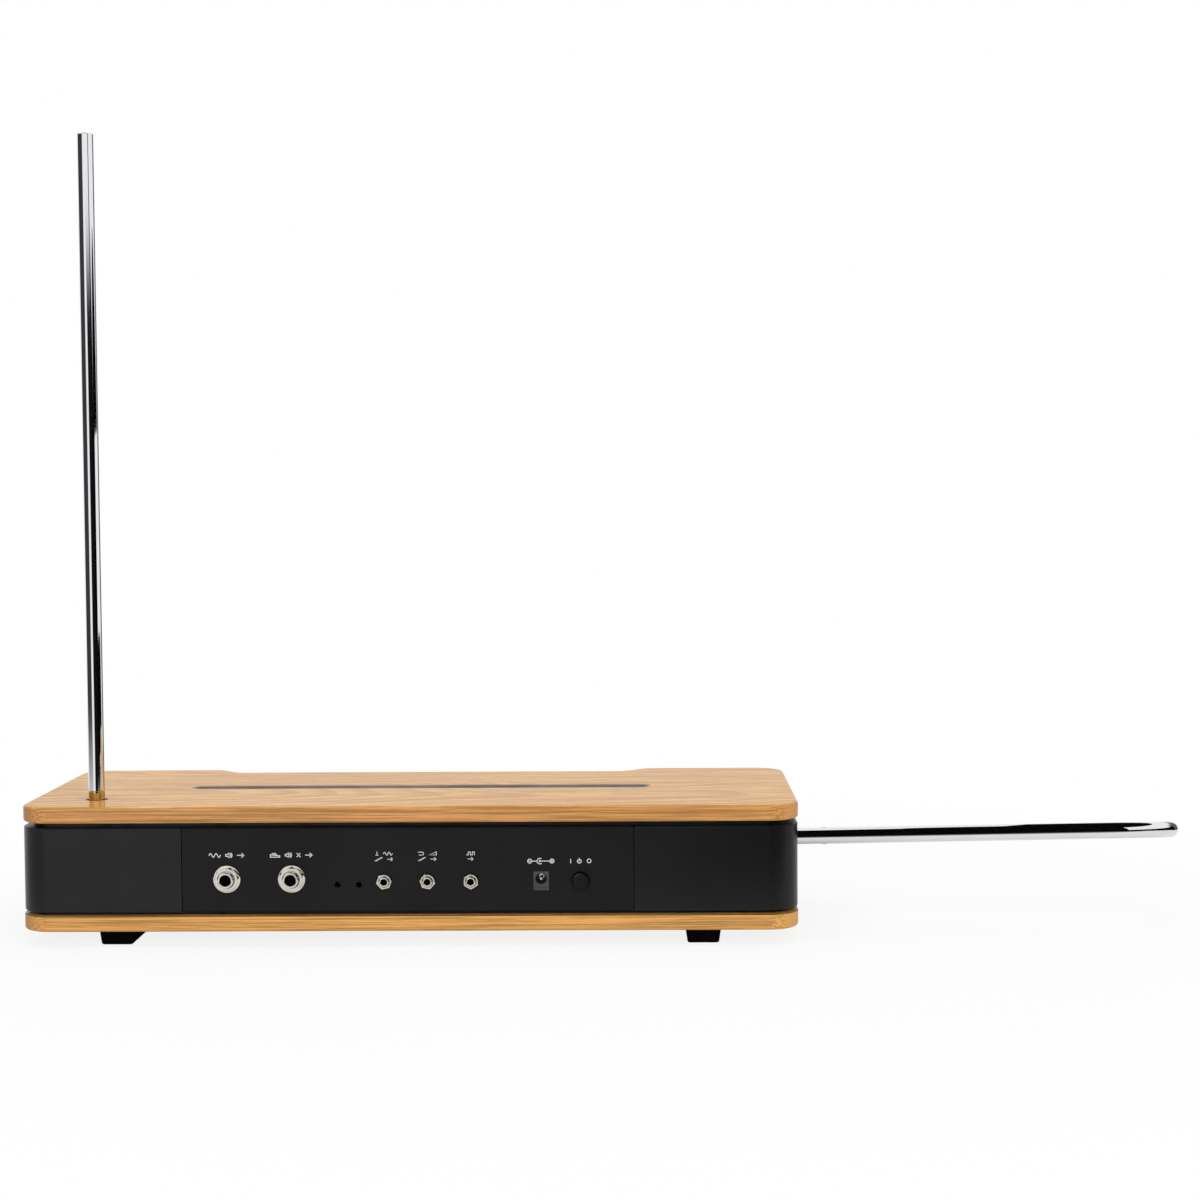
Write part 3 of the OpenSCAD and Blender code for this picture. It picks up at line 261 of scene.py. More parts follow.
def wood(name, plain, late, edge, heart, seed, gap_shade=0.0):
    """Plain-sawn lacquered wood with its grain along X. heart is (y, depth) of the log's middle.

    The last value is how dark painted shade makes the upper rounding of its rim, where the body
    above shades the gap."""
    f = Finish(name, {"Coat Weight": 0.48, "Coat Roughness": 0.06, "IOR": 1.45,
                      "Specular IOR Level": 0.0})
    x, y, z = f.split(f.place())
    slow = f.noise(f.point(x * 0.0035 + seed, y * 0.009, z * 0.009), detail=2.0) - 0.5
    wave = f.noise(f.point(x * 0.014, y * 0.04 + seed, z * 0.04), detail=3.0) - 0.5
    side = y + x * 0.05 + slow * 60.0 + wave * 5.0 - heart[0]
    deep = z + x * 0.09 + slow * 40.0 + heart[1]
    ring = ((side * side + deep * deep).root() / 4.4).fract()
    dark = f.smooth(ring, 0.15, 0.8) * (1.0 - f.smooth(ring, 0.86, 1.0))
    fibre = f.noise(f.point(x * 0.022, y * 1.3, z * 1.5), detail=5.0, rough=0.68)
    pore = f.noise(f.point(x * 0.08, y * 2.6, z * 3.4 + seed), detail=2.0)
    pores = f.smooth(pore, 0.55, 0.66) * (1.0 - dark * 0.7)
    cloud = f.noise(f.point(x * 0.006, y * 0.06, seed), detail=3.0, rough=0.6)
    body = f.mix(f.smooth(cloud, 0.36, 0.66) * 0.55, plain, dimmed(late, 1.35))
    body = f.mix(dark * 0.6, body, late)
    body = f.mix(f.smooth(fibre, 0.45, 0.58) * 0.85, body, late)
    body = f.mix(pores * 0.8, body, dimmed(late, 0.5))
    ends, _, up = f.faced()
    rim = 1.0 - f.smooth(abs(up), 0.35, 0.93)
    along = 1.0 - f.smooth(abs(ends), 0.35, 0.8) * 0.65
    streak = f.noise(f.point(x * 0.014 + seed, y * 0.9, z * 1.1), detail=5.0, rough=0.68)
    thin = f.noise(f.point(x * 0.01, y * 2.0 + seed, z * 2.7), detail=3.0)
    border = f.mix(f.smooth(streak, 0.42, 0.6) * along, edge, dimmed(edge, 0.55))
    border = f.mix(f.smooth(thin, 0.5, 0.62) * along * 0.5, border, dimmed(edge, 0.4))
    border = f.mix((1.0 - along) * 0.6, border, dimmed(edge, 0.62))
    border = f.mix(pores * along * 0.25, border, dimmed(edge, 0.3))
    # painted shade: the left end of the edges is darker, as less light falls on it
    border = f.mix(f.smooth(-1.0 * ends, 0.3, 0.9) * 0.7, border, dimmed(edge, 0.4))
    # painted shade on the upper rounding of the rim, where the body above shades the gap
    shade = f.smooth(up, 0.1, 0.36) * (1.0 - f.smooth(up, 0.93, 0.995)) * gap_shade
    f.set(Base_Color=f.mix(shade, f.mix(rim, body, border), dimmed(edge, 0.06)),
          Roughness=f.smooth(fibre, 0.2, 0.8) * 0.12 + 0.34 + pores * 0.15)
    f.bump(fibre * 0.35 - pores * 0.6, 0.03, 0.5)
    return f.material


def moulded(name, colour, rough, grain=1.6, deep=0.02, shine=0.35):
    """Plastic or rubber with a fine moulded grain and slight patches in colour and gloss."""
    f = Finish(name, {"IOR": 1.48, "Specular IOR Level": shine})
    p = f.place()
    fine = f.noise(p, scale=grain, detail=4.0, rough=0.6)
    patch = f.noise(p, scale=0.035, detail=3.0)
    f.set(Base_Color=f.mix(f.smooth(patch, 0.25, 0.8), dimmed(colour, 1.25),
                           dimmed(colour, 0.75)),
          Roughness=rough - 0.05 + patch * 0.08 + (fine - 0.5) * 0.08)
    f.bump(fine, deep, 0.6)
    return f.material


def painted(name, colour, rough):
    """Sheet metal under black paint, with a faint orange peel."""
    f = Finish(name, {"IOR": 1.5, "Specular IOR Level": 0.2})
    p = f.place()
    peel = f.noise(p, scale=0.9, detail=2.0)
    fine = f.noise(p, scale=5.0, detail=3.0)
    patch = f.noise(p, scale=0.02, detail=3.0)
    f.set(Base_Color=f.mix(f.smooth(patch, 0.3, 0.75), dimmed(colour, 1.12), dimmed(colour, 0.88)),
          Roughness=rough + (fine - 0.5) * 0.12 + (patch - 0.5) * 0.1)
    f.bump(peel * 0.7 + fine * 0.3, 0.018, 0.5)
    return f.material


def metal(name, colour, rough, brush=(1.0, 1.0, 1.0), stain=0.12, deep=0.004):
    """Bare or plated metal. brush stretches its fine marks along the row's axes."""
    f = Finish(name, {"Metallic": 1.0})
    p = f.place()
    lines = f.noise(p * brush, scale=3.0, detail=4.0, rough=0.65)
    film = f.noise(p, scale=0.08, detail=4.0)
    f.set(Base_Color=f.mix(f.smooth(film, 0.35, 0.8), colour, dimmed(colour, 1 - stain)),
          Roughness=rough + (lines - 0.5) * rough * 0.6 + f.smooth(film, 0.5, 0.8) * rough * 0.3)
    f.bump(lines, deep, 0.35)
    return f.material


def circuit(name, mask, track, pad):
    """A circuit board's lacquer, with tracks under it and tinned spots."""
    f = Finish(name, {"Coat Weight": 0.3, "Coat Roughness": 0.15})
    p = f.place()
    x, y, z = f.split(p)
    cell = f.node("ShaderNodeTexVoronoi", {"distance": "CHEBYCHEV", "feature": "F1"}, {
        "Vector": p, "Scale": 0.22})
    lane = f.smooth(abs(((x + y * 0.5 + z) * 0.55 + cell * 2.0).sine()), 0.86, 0.93)
    spots = f.node("ShaderNodeTexVoronoi", {"feature": "F1"}, {"Vector": p, "Scale": 0.3})
    tin = 1.0 - f.smooth(spots, 0.14, 0.18)
    body = f.mix(lane * 0.7, mask, track)
    f.set(Base_Color=f.mix(tin, body, pad), Metallic=tin * 0.9, Roughness=0.42 - tin * 0.12)
    f.bump(lane * 0.5 + tin * 0.5, 0.035, 0.6)
    return f.material


def banded(name, colour, line, axis, pitch, rough, metallic=0.0):
    """Windings or cores side by side: bands across one of the row's axes."""
    f = Finish(name, {"Metallic": metallic})
    p = f.place()
    along = f.split(p)[axis]
    phase = (along * (1.0 / pitch)).fract()
    hump = (phase * math.pi).sine()
    grain = f.noise(p, scale=1.2, detail=3.0)
    f.set(Base_Color=f.mix(f.smooth(hump, 0.15, 0.6), line, colour),
          Roughness=rough + (grain - 0.5) * 0.15)
    f.bump(hump, pitch * 0.3, 0.8)
    return f.material


def polished_rim(name, colour, axis, r):
    """Moulded plastic round an axis along Y at (x, z). Its rim is polished at the top."""
    f = Finish(name, {"Coat Roughness": 0.04, "IOR": 1.5, "Specular IOR Level": 0.15})
    p = f.place()
    x, _, z = f.split(p)
    out = ((x - axis[0]) * (x - axis[0]) + (z - axis[1]) * (z - axis[1])).root()
    grain = f.noise(p, scale=2.0, detail=4.0, rough=0.6)
    up = f.faced()[2]
    shiny = f.smooth(out, r - 0.3, r + 0.4) * f.smooth(up, 0.15, 0.45)
    f.set(Base_Color=f.mix(grain, dimmed(colour, 1.2), dimmed(colour, 0.8)),
          Roughness=0.5 + (grain - 0.5) * 0.1, Coat_Weight=shiny)
    f.bump(grain, 0.006, 0.4)
    return f.material


def lens(name, colour):
    """A tinted clear lamp body with a faint glow at its core."""
    f = Finish(name, {"Transmission Weight": 0.35, "IOR": 1.49, "Emission Strength": 0.25})
    p = f.place()
    fleck = f.noise(p, scale=1.4, detail=3.0)
    f.set(Base_Color=f.mix(fleck, colour, dimmed(colour, 0.6)),
          Emission_Color=f.mix(fleck, colour, dimmed(colour, 0.4)),
          Roughness=0.12 + fleck * 0.1)
    f.bump(fleck, 0.01, 0.3)
    return f.material


def ink(name, colour):
    """Screen-printed ink, slightly uneven where it has worn."""
    f = Finish(name, {})
    p = f.place()
    grain = f.noise(p, scale=2.4, detail=4.0, rough=0.65)
    f.set(Base_Color=f.mix(f.smooth(grain, 0.52, 0.85), colour, dimmed(colour, 0.7)),
          Roughness=0.5 + (grain - 0.5) * 0.2)
    f.bump(grain, 0.01, 0.4)
    return f.material


def palette(case):
    """Every finish by its slot in the record, and the ink: its maker and the maker's values."""
    black, panel = tuple(case.shell_colour), tuple(case.panel_colour)
    plain, late, edge = (tuple(c) for c in (case.wood_colour, case.grain_colour, case.edge_colour))
    golden = (edge[0] * 1.17, edge[1] * 1.24, edge[2] * 1.05)
    return {
        "top_wood": (wood, plain, late, edge, (-25.0, 40.0), 3.0),
        # its last value darkens the upper rounding of the rim with painted shade
        "bottom_wood": (wood, plain, late, golden, (30.0, 60.0), 11.0, 0.8),
        "shell_black": (moulded, black, 0.3, 2.2, 0.03, 0.32),
        "panel_black": (painted, panel, 0.5),
        "inner_steel": (metal, (0.045, 0.045, 0.048), 0.45, (0.2, 2.0, 2.0)),
        "liner_black": (moulded, (0.29, 0.27, 0.255), 0.4, 3.0),
        "screw_steel": (metal, (0.55, 0.55, 0.56), 0.3, (1.0, 1.0, 3.0)),
        "brass": (metal, (0.62, 0.45, 0.2), 0.05, (0.3, 0.3, 4.0), 0.3, 0.001),
        "foot_rubber": (moulded, (0.0025, 0.0025, 0.0025), 0.75, 2.4, 0.05, 0.03),
        "flange_steel": (metal, (0.5, 0.5, 0.52), 0.34, (2.0, 2.0, 0.5)),
        "board_green": (circuit, (0.012, 0.085, 0.035), (0.03, 0.16, 0.07), (0.7, 0.68, 0.62)),
        "cable_grey": (banded, (0.3, 0.31, 0.33), (0.15, 0.155, 0.16), 0, 1.27, 0.5),
        "can_steel": (metal, (0.62, 0.62, 0.6), 0.28, (1.0, 1.0, 0.1)),
        "chip_black": (moulded, (0.012, 0.012, 0.013), 0.5, 4.0),
        "capacitor_blue": (moulded, (0.01, 0.018, 0.11), 0.3, 1.0, 0.01),
        "coil_copper": (banded, (0.5, 0.18, 0.07), (0.2, 0.07, 0.03), 2, 0.4, 0.35, 0.8),
        "lead_red": (moulded, (0.4, 0.02, 0.015), 0.35, 1.2),
        "socket_nylon": (moulded, (0.012, 0.012, 0.013), 0.45, 2.0, 0.03),
        "chrome": (metal, (0.80, 0.81, 0.83), 0.045, (1.0, 1.0, 1.0), 0.05, 0.0008),
        "cap_vinyl": (moulded, (0.22, 0.22, 0.215), 0.42, 1.4, 0.03),
        "jack_plastic": (moulded, (0.01, 0.01, 0.011), 0.4, 2.0),
        "nickel": (metal, (0.74, 0.71, 0.64), 0.1, (1.5, 1.5, 1.5), 0.25),
        "inlet_grey": (moulded, (0.06, 0.06, 0.068), 0.4, 3.0, 0.03),
        "button_black": (polished_rim, (0.0075, 0.0075, 0.008), (BUTTON_X, Z_SMALL), 3.6),
        "trimmer_blue": (moulded, (0.004, 0.008, 0.03), 0.4, 2.0),
        "pot_green": (moulded, (0.03, 0.09, 0.06), 0.4, 1.5),
        "lamp_red": (lens, (0.75, 0.03, 0.015)),
        "knob_black": (moulded, (0.014, 0.014, 0.015), 0.38, 2.6, 0.03),
        "shaft_steel": (metal, (0.58, 0.58, 0.6), 0.22, (1.0, 3.0, 1.0)),
        "ink": (ink, (0.78, 0.78, 0.77)),
    }


MADE = {}  # the materials made so far, by slot


def finish_of(slot):
    """The material of a slot, made when it is first asked for."""
    if slot not in MADE:
        maker, *values = palette(bpy.context.scene.theremin_case)[slot]
        MADE[slot] = maker(slot, *values)
    return MADE[slot]


# ---- meshes

def arc(cx, cy, r, start, stop, steps):
    """Points on an arc, with angles in degrees."""
    turns = [math.radians(start + (stop - start) * i / steps) for i in range(steps + 1)]
    return [(cx + r * math.cos(t), cy + r * math.sin(t)) for t in turns]


def quarter(steps, first=0):
    """Cosine and sine at equal steps of a quarter turn."""
    return [(math.cos(t), math.sin(t))
            for t in (math.pi / 2 * i / steps for i in range(first, steps + 1))]


def rounded_box(w, d, r, steps=10, cx=0.0, cy=0.0):
    """A rectangle with round corners, anticlockwise."""
    x, y = w / 2 - r, d / 2 - r
    return [p for i, (sx, sy) in enumerate(((1, 1), (-1, 1), (-1, -1), (1, -1)))
            for p in arc(cx + sx * x, cy + sy * y, r, 90 * i, 90 * i + 90, steps)]


def stadium(length, r, steps=20):
    """A slot shape with round ends, anticlockwise."""
    x = length / 2
    return arc(x, 0, r, -90, 90, steps) + arc(-x, 0, r, 90, 270, steps)


def shrink(points, inset):
    """Moves each side of a closed anticlockwise outline inwards."""
    count, inner = len(points), []
    for i, (x, y) in enumerate(points):
        before, after = points[i - 1], points[(i + 1) % count]
        a = Vector((x - before[0], y - before[1])).normalized()
        b = Vector((after[0] - x, after[1] - y)).normalized()
        n1, n2 = Vector((-a.y, a.x)), Vector((-b.y, b.x))
        step = (n1 + n2) * (inset / max(0.2, 1 + n1.dot(n2)))
        inner.append((x + step.x, y + step.y))
    return inner


def recess_end():
    """Points down the right soft end of the recess, from the case's front edge inwards."""
    steps = 24
    return [(PANEL_W / 2 + RECESS_END * (0.5 - i / steps),
             CASE_D / 2 - RECESS_D * (1 - math.cos(math.pi * i / steps)) / 2)
            for i in range(steps + 1)]


def corner(side, way):
    """Points round one corner of the case, anticlockwise."""
    start = {(1, -1): -90, (1, 1): 0, (-1, 1): 90, (-1, -1): 180}[side, way]
    return arc(side * (CASE_W / 2 - CORNER_R), way * (CASE_D / 2 - CORNER_R), CORNER_R, start,
               start + 90, CORNER_STEPS)


def case_plan():
    """The outline of the top board, anticlockwise from its rear right corner."""
    right = recess_end()
    left = [(-x, y) for x, y in reversed(right)]
    return (corner(1, -1) + corner(1, 1) + right + left + corner(-1, 1) + corner(-1, -1))


def end_plan():
    """The outline of the right end of the body, without the part behind the panels."""
    rear, front = SEAMS
    right = [p for p in recess_end() if p[0] > front + BODY_INSET]
    edge = (corner(1, -1) + corner(1, 1) + right
            + [(front, CASE_D / 2 - RECESS_D), (front, END_STEP_Y), (rear, END_STEP_Y),
               (rear, -CASE_D / 2)])
    return [(p[0] if p[0] in SEAMS else q[0], p[1] if p[1] == END_STEP_Y else q[1])
            for p, q in zip(edge, shrink(edge, BODY_INSET))]


class Shape:
    """Points and faces in millimetres, which grow into one piece."""

    def __init__(self):
        self.points, self.faces = [], []

    def add(self, points, faces, place=Matrix.Identity(4)):
        start = len(self.points)
        self.points += [place @ Vector(p) for p in points]
        self.faces += [[start + i for i in face] for face in faces]
        return self

    def loft(self, rings, place=Matrix.Identity(4), closed=False):
        """Joins rings of equally many points. The ends are capped unless closed is set."""
        count = len(rings[0])
        points = [p for ring in rings for p in ring]
        pairs = list(zip(range(len(rings)), range(1, len(rings))))
        if closed:
            pairs.append((len(rings) - 1, 0))
        faces = [[a * count + i, a * count + (i + 1) % count, b * count + (i + 1) % count,
                  b * count + i] for a, b in pairs for i in range(count)]
        if not closed:
            last = (len(rings) - 1) * count
            faces += [list(range(count))[::-1], [last + i for i in range(count)]]
        return self.add(points, faces, place)

    def slab(self, plan, low, high, round_low=0.0, round_high=0.0, place=Matrix.Identity(4),
             steps=5):
        """A plan between two heights, with its lower and upper edges rounded."""
        rings = []
        for radius, z, way in ((round_low, low, 1), (round_high, high, -1)):
            turns = [90 * i / steps for i in range(steps + 1)] if radius else [90]
            one = [(radius * (1 - math.sin(math.radians(t))),
                    z + way * radius * (1 - math.cos(math.radians(t)))) for t in turns]
            rings += one if way == 1 else one[::-1]
        return self.loft([[(x, y, z) for x, y in (shrink(plan, inset) if inset else plan)]
                          for inset, z in rings], place)

    def turned(self, profile, place=Matrix.Identity(4), count=64, shape=None, closed=False):
        """Turns a profile of (radius, height) about its own Z. shape may change the radius."""
        points, rows, faces = [], [], []
        for r, z in profile:
            if r < 1e-6:
                rows.append([len(points)] * count)
                points.append((0, 0, z))
                continue
            rows.append(list(range(len(points), len(points) + count)))
            for i in range(count):
                turn = 2 * math.pi * i / count
                size = shape(turn, r, z) if shape else r
                points.append((size * math.cos(turn), size * math.sin(turn), z))
        for a, b in zip(rows, rows[1:] + rows[:1] if closed else rows[1:]):
            for i in range(count):
                j = (i + 1) % count
                face = []
                for v in (a[i], a[j], b[j], b[i]):
                    if v not in face:
                        face.append(v)
                if len(face) > 2:
                    faces.append(face)
        return self.add(points, faces, place)

    def drill(self, r, low, high, place=Matrix.Identity(4), count=48):
        """A plain pin between two heights, or the tool for a plain hole."""
        return self.turned([(0, low), (r, low), (r, high), (0, high)], place, count)

    def tube(self, path, across, outer, inner, place=Matrix.Identity(4), count=40):
        """A hollow tube along a flat path of (point, direction). across is the plane's normal."""
        rings = []
        for radius, steps in ((outer, path), (inner, path[::-1])):
            for point, along in steps:
                side = across.cross(along)
                rings.append([point + radius * (math.cos(t) * side + math.sin(t) * across)
                              for t in (2 * math.pi * i / count for i in range(count))])
        return self.loft(rings, place, closed=True)

    def build(self, name, slot, body, node, *cuts, sharp=32.0):
        """The finished piece: cut, shaded and dressed for the solid that it stands for."""
        made = self.piece(name, sharp)
        for tool in cuts:
            carve(made, tool)
        even(made, sharp)
        return dress(made, slot, body, node)

    def piece(self, name, sharp=32.0):
        """The finished object, in metres."""
        mesh = bpy.data.meshes.new(name)
        mesh.from_pydata([tuple(p * MM) for p in self.points], [], self.faces)
        work = bmesh.new()
        work.from_mesh(mesh)
        bmesh.ops.remove_doubles(work, verts=work.verts, dist=1e-7)
        bmesh.ops.recalc_face_normals(work, faces=work.faces)
        work.to_mesh(mesh)
        work.free()
        made = bpy.data.objects.new(name, mesh)
        bpy.context.scene.collection.objects.link(made)
        soften(made, sharp)
        return made


def soften(made, sharp=32.0):
    """Smooth shading that stops at every edge sharper than the angle."""
    work = bmesh.new()
    work.from_mesh(made.data)
    for face in work.faces:
        face.smooth = True
    for edge in work.edges:
        edge.smooth = not (len(edge.link_faces) == 2
                           and edge.calc_face_angle(0.0) > math.radians(sharp))
    work.to_mesh(made.data)
    work.free()


def settle(made):
    """Puts the result of a piece's modifiers into its mesh."""
    graph = bpy.context.evaluated_depsgraph_get()
    mesh = bpy.data.meshes.new_from_object(made.evaluated_get(graph),
                                           preserve_all_data_layers=True, depsgraph=graph)
    made.modifiers.clear()
    old, made.data = made.data, mesh
    bpy.data.meshes.remove(old)
    mesh.name = made.name


def carve(made, tool, operation="DIFFERENCE"):
    """Cuts a shape out of a piece, or joins it on with UNION."""
    other = tool.piece("tool")
    step = made.modifiers.new("carve", "BOOLEAN")
    step.operation, step.object, step.solver = operation, other, "EXACT"
    settle(made)
    bpy.data.objects.remove(other)


def even(made, sharp=32.0):
    """Flat faces stay flat beside rounded edges."""
    soften(made, sharp)
    step = made.modifiers.new("even", "WEIGHTED_NORMAL")
    step.keep_sharp, step.weight = True, 100
    settle(made)


def dress(made, slot, body, *nodes, material=None):
    """Gives a piece its finish, its body and the solids that it stands for."""
    made.data.materials.clear()
    made.data.materials.append(finish_of(material or slot))
    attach(made, body)
    if nodes:
        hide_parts(*nodes)
    return made


def round_profile(r, top, radius, steps=5):
    """The upper outer edge of a turned piece, rounded."""
    return [(r - radius + radius * c, top - radius + radius * s) for c, s in quarter(steps)]


def screw_cut(tool, x, y, z, way=1, under=0.4):
    """The hole of a wood screw whose flat head lies at z. way is 1 where it points up."""
    profile = [(0, -under), (WOOD_HEAD_R, -under), (WOOD_HEAD_R, 0),
               (WOOD_SHANK_R, WOOD_HEAD_H), (WOOD_SHANK_R, WOOD_SCREW_L), (0, WOOD_SCREW_L)]
    tool.turned([(r, h * way) for r, h in profile], moved(x, y, z), 32)


def thread(pitch, deep, low, high):
    """Makes a turned surface a screw thread between two heights."""
    def size(turn, r, z):
        if not low < z < high:
            return r
        phase = (z / pitch - turn / (2 * math.pi)) % 1.0
        fade = min(1.0, (z - low) / pitch, (high - z) / pitch)
        return r - deep * fade * (1 - abs(2 * phase - 1))
    return size


def heights(low, high, step):
    """Even steps from low to high, about as long as step."""
    count = max(2, round((high - low) / step))
    return [low + (high - low) * i / count for i in range(count + 1)]


# ---- settings

class CaseSettings(bpy.types.PropertyGroup):
    """Edges and colours of the case."""

    board_round: FloatProperty(name="Board rounding", description="Radius of the boards' edges",
                               default=1.7 * MM, min=0.0, max=4 * MM, unit="LENGTH")
    shell_round: FloatProperty(name="Shell rounding", description="Radius of the shells' edges",
                               default=0.9 * MM, min=0.0, max=2 * MM, unit="LENGTH")
    wood_colour: FloatVectorProperty(name="Wood", description="Colour of the plain wood",
                                     subtype="COLOR", size=3, default=(0.93, 0.56, 0.165))
    grain_colour: FloatVectorProperty(name="Grain", description="Colour of the grain lines",
                                      subtype="COLOR", size=3, default=(0.47, 0.205, 0.045))
    edge_colour: FloatVectorProperty(name="Board edge", description="Colour of the boards' edges",
                                     subtype="COLOR", size=3, default=(0.80, 0.38, 0.125))
    shell_colour: FloatVectorProperty(name="Shell", description="Colour of the end shells",
                                      subtype="COLOR", size=3, default=(0.0055, 0.0055, 0.006))
    panel_colour: FloatVectorProperty(name="Panel", description="Colour of the panels",
                                      subtype="COLOR", size=3, default=(0.007, 0.007, 0.0076))


class ControlSettings(bpy.types.PropertyGroup):
    """Knobs, jacks and marks."""

    flutes: IntProperty(name="Flutes", description="Number of flutes round a knob", default=28,
                        min=8, max=48)
    flute_depth: FloatProperty(name="Flute depth", description="Depth of the flutes",
                               default=0.42 * MM, min=0.0, max=1.0 * MM, unit="LENGTH")
    line_width: FloatProperty(name="Line width", description="Width of the printed lines",
                              default=0.48 * MM, min=0.1 * MM, max=1.0 * MM, unit="LENGTH")
    thread_depth: FloatProperty(name="Thread depth", description="Depth of the jacks' threads",
                                default=0.32 * MM, min=0.0, max=0.5 * MM, unit="LENGTH")


class StudioSettings(bpy.types.PropertyGroup):
    """Floor, lamps and camera."""

    key_power: FloatProperty(name="Top lamp", description="Power of the soft lamp overhead",
                             default=15.0, min=0.0, max=200.0, unit="POWER")
    fill_power: FloatProperty(name="Front lamp", description="Power of the lamp by the camera",
                              default=11.5, min=0.0, max=200.0, unit="POWER")
    sky: FloatProperty(name="Room light", description="Strength of the even light of the room",
                       default=0.6, min=0.0, max=2.0)
    floor_lift: FloatProperty(name="Floor lift", description="How far the floor is lifted to "
                              "white where the camera sees it", subtype="FACTOR", default=0.86,
                              min=0.0, max=1.0)
    lens: FloatProperty(name="Lens", description="Focal length of the camera", default=68.30,
                        min=10.0, max=300.0, unit="CAMERA")


# ---- pieces

class THEREMIN_OT_boards(bpy.types.Operator):
    """Makes the two lacquered boards"""

    bl_idname = "theremin.boards"
    bl_label = "Boards"

    def execute(self, context):
        r = context.scene.theremin_case.board_round / MM
        tool = Shape()
        tool.loft([[(x, y, z) for x, y in stadium(SLOT_L - SLOT_W, SLOT_W / 2 + out)]
                   for out, z in ((0, Z_TOP - 1), (0, Z_CASE - 0.3), (0.1, Z_CASE - 0.1),
                                  (0.3, Z_CASE), (0.8, Z_CASE + 0.5))])
        tool.turned([(0, -12), (HOLE_R, -12), (HOLE_R, -0.45), (HOLE_R + 0.12, -0.15),
                     (HOLE_R + 0.4, 0.0), (HOLE_R + 0.8, 0.4), (0, 0.4)], AT_PITCH, 72)
        for x, y in POSTS:
            tool.drill(INSERT_R, -1, INSERT_L, moved(x, y, Z_TOP))
        for i in (-1, 0, 1):
            for s in (-1, 1):
                screw_cut(tool, i * LINER_PITCH, s * (SLOT_W + LINER_FLANGE) / 2,
                          Z_TOP - LINER_T, under=0.1)
        Shape().slab(case_plan(), Z_TOP, Z_CASE, r, r, steps=7).build(
            "top_wooden_board", "top_wood", "case", "top_board", tool, sharp=40)

        tool, holes = Shape(), Shape()
        for x, y in POSTS:
            tool.turned([(0, -1), (HEAD_R + 0.4, -1), (HEAD_R + 0.4, 0), (HEAD_R, 0.4),
                         (HEAD_R, HEAD_DEEP), (SCREW_R, HEAD_DEEP), (SCREW_R, BOARD_T + 1),
                         (0, BOARD_T + 1)], moved(x, y), 48)
        tool.turned([(0, -1), (FLANGE_R + 0.5, -1), (FLANGE_R + 0.5, 0), (FLANGE_R + 0.2, 0.3),
                     (FLANGE_R + 0.2, FLANGE_T), (BOSS_R + 0.2, FLANGE_T),
                     (BOSS_R + 0.2, BOARD_T + 1), (0, BOARD_T + 1)], count=96)
        for x, y in FEET:
            screw_cut(tool, x, y, FOOT_SCREW_Z)
        for x, y in FLANGE_SCREWS:
            holes.drill(WOOD_SHANK_R, 2, WOOD_SCREW_L, moved(x, y), 32)
        Shape().slab(rounded_box(CASE_W, CASE_D, CORNER_R, 14), 0, BOARD_T, r, r * 0.6,
                     steps=7).build("bottom_wooden_board", "bottom_wood", "case",
                                    "bottom_board", tool, holes, sharp=40)
        return {"FINISHED"}


class THEREMIN_OT_shells(bpy.types.Operator):
    """Makes the two moulded end shells"""

    bl_idname = "theremin.shells"
    bl_label = "End shells"

    def execute(self, context):
        for side, name, node in ((1, "right_moulded_shell", "right_end_shell"),
                                 (-1, "left_moulded_shell", "left_end_shell")):
            made = self.shell(context.scene, name)
            if side > 0:
                carve(made, Shape().turned([(0, -6), (HOLE_R, -6), (HOLE_R, VOLUME_SINK - 0.4),
                                            (HOLE_R + 0.8, VOLUME_SINK + 0.4), (HOLE_R + 0.8, 12),
                                            (0, 12)], AT_VOLUME, 72))
            else:
                made.data.transform(Matrix.Scale(-1, 4, (1, 0, 0)))
                made.data.flip_normals()
            even(made, 40)
            dress(made, "shell_black", "case", node)
        return {"FINISHED"}

    def shell(self, scene, name):
        """A shell of the right end: a block with its inside, its opening and its posts."""
        r = scene.theremin_case.shell_round / MM
        plan = end_plan()
        made = Shape().slab(plan, Z_BODY, Z_LID, r, r).piece(name)
        past = 5.0
        rear, front = PANEL_W / 2 - past, FRONT_W / 2 - past
        hollow = [(rear if y < END_STEP_Y + 1 else front, y) if p[0] in SEAMS else (x, y)
                  for p, (x, y) in zip(plan, shrink(plan, SHELL_T))]
        carve(made, Shape().slab(hollow, Z_BODY + SHELL_T, Z_LID - SHELL_T))
        x, y_low, y_high = CASE_W / 2 - LIP_W, -CASE_D / 2 + LIP_W, CASE_D / 2 - RECESS_D - LIP_W
        carve(made, Shape().slab([(0, y_low), (x, y_low), (x, y_high), (0, y_high)],
                                 Z_BODY - 1, Z_LID + 1))
        extra, holes = Shape(), Shape()
        for x, y in POSTS[2:]:
            extra.drill(POST_R, Z_BODY + 0.02, Z_LID - 0.02, moved(x, y))
            holes.drill(SCREW_R, 0, Z_TOP, moved(x, y), 32)
        for x, y in zip(SEAMS, (Y_REAR + PANEL_T + 0.1, Y_FRONT - PANEL_T - 0.1 - TONGUE_T)):
            extra.slab(rounded_box(TONGUE_L + 6, TONGUE_T, 0.5, 4, x - TONGUE_L / 2 + 3,
                                   y + TONGUE_T / 2),
                       Z_BODY + SHELL_T - 0.5, Z_LID - SHELL_T + 0.5)
        carve(made, extra, "UNION")
        carve(made, holes)
        return made


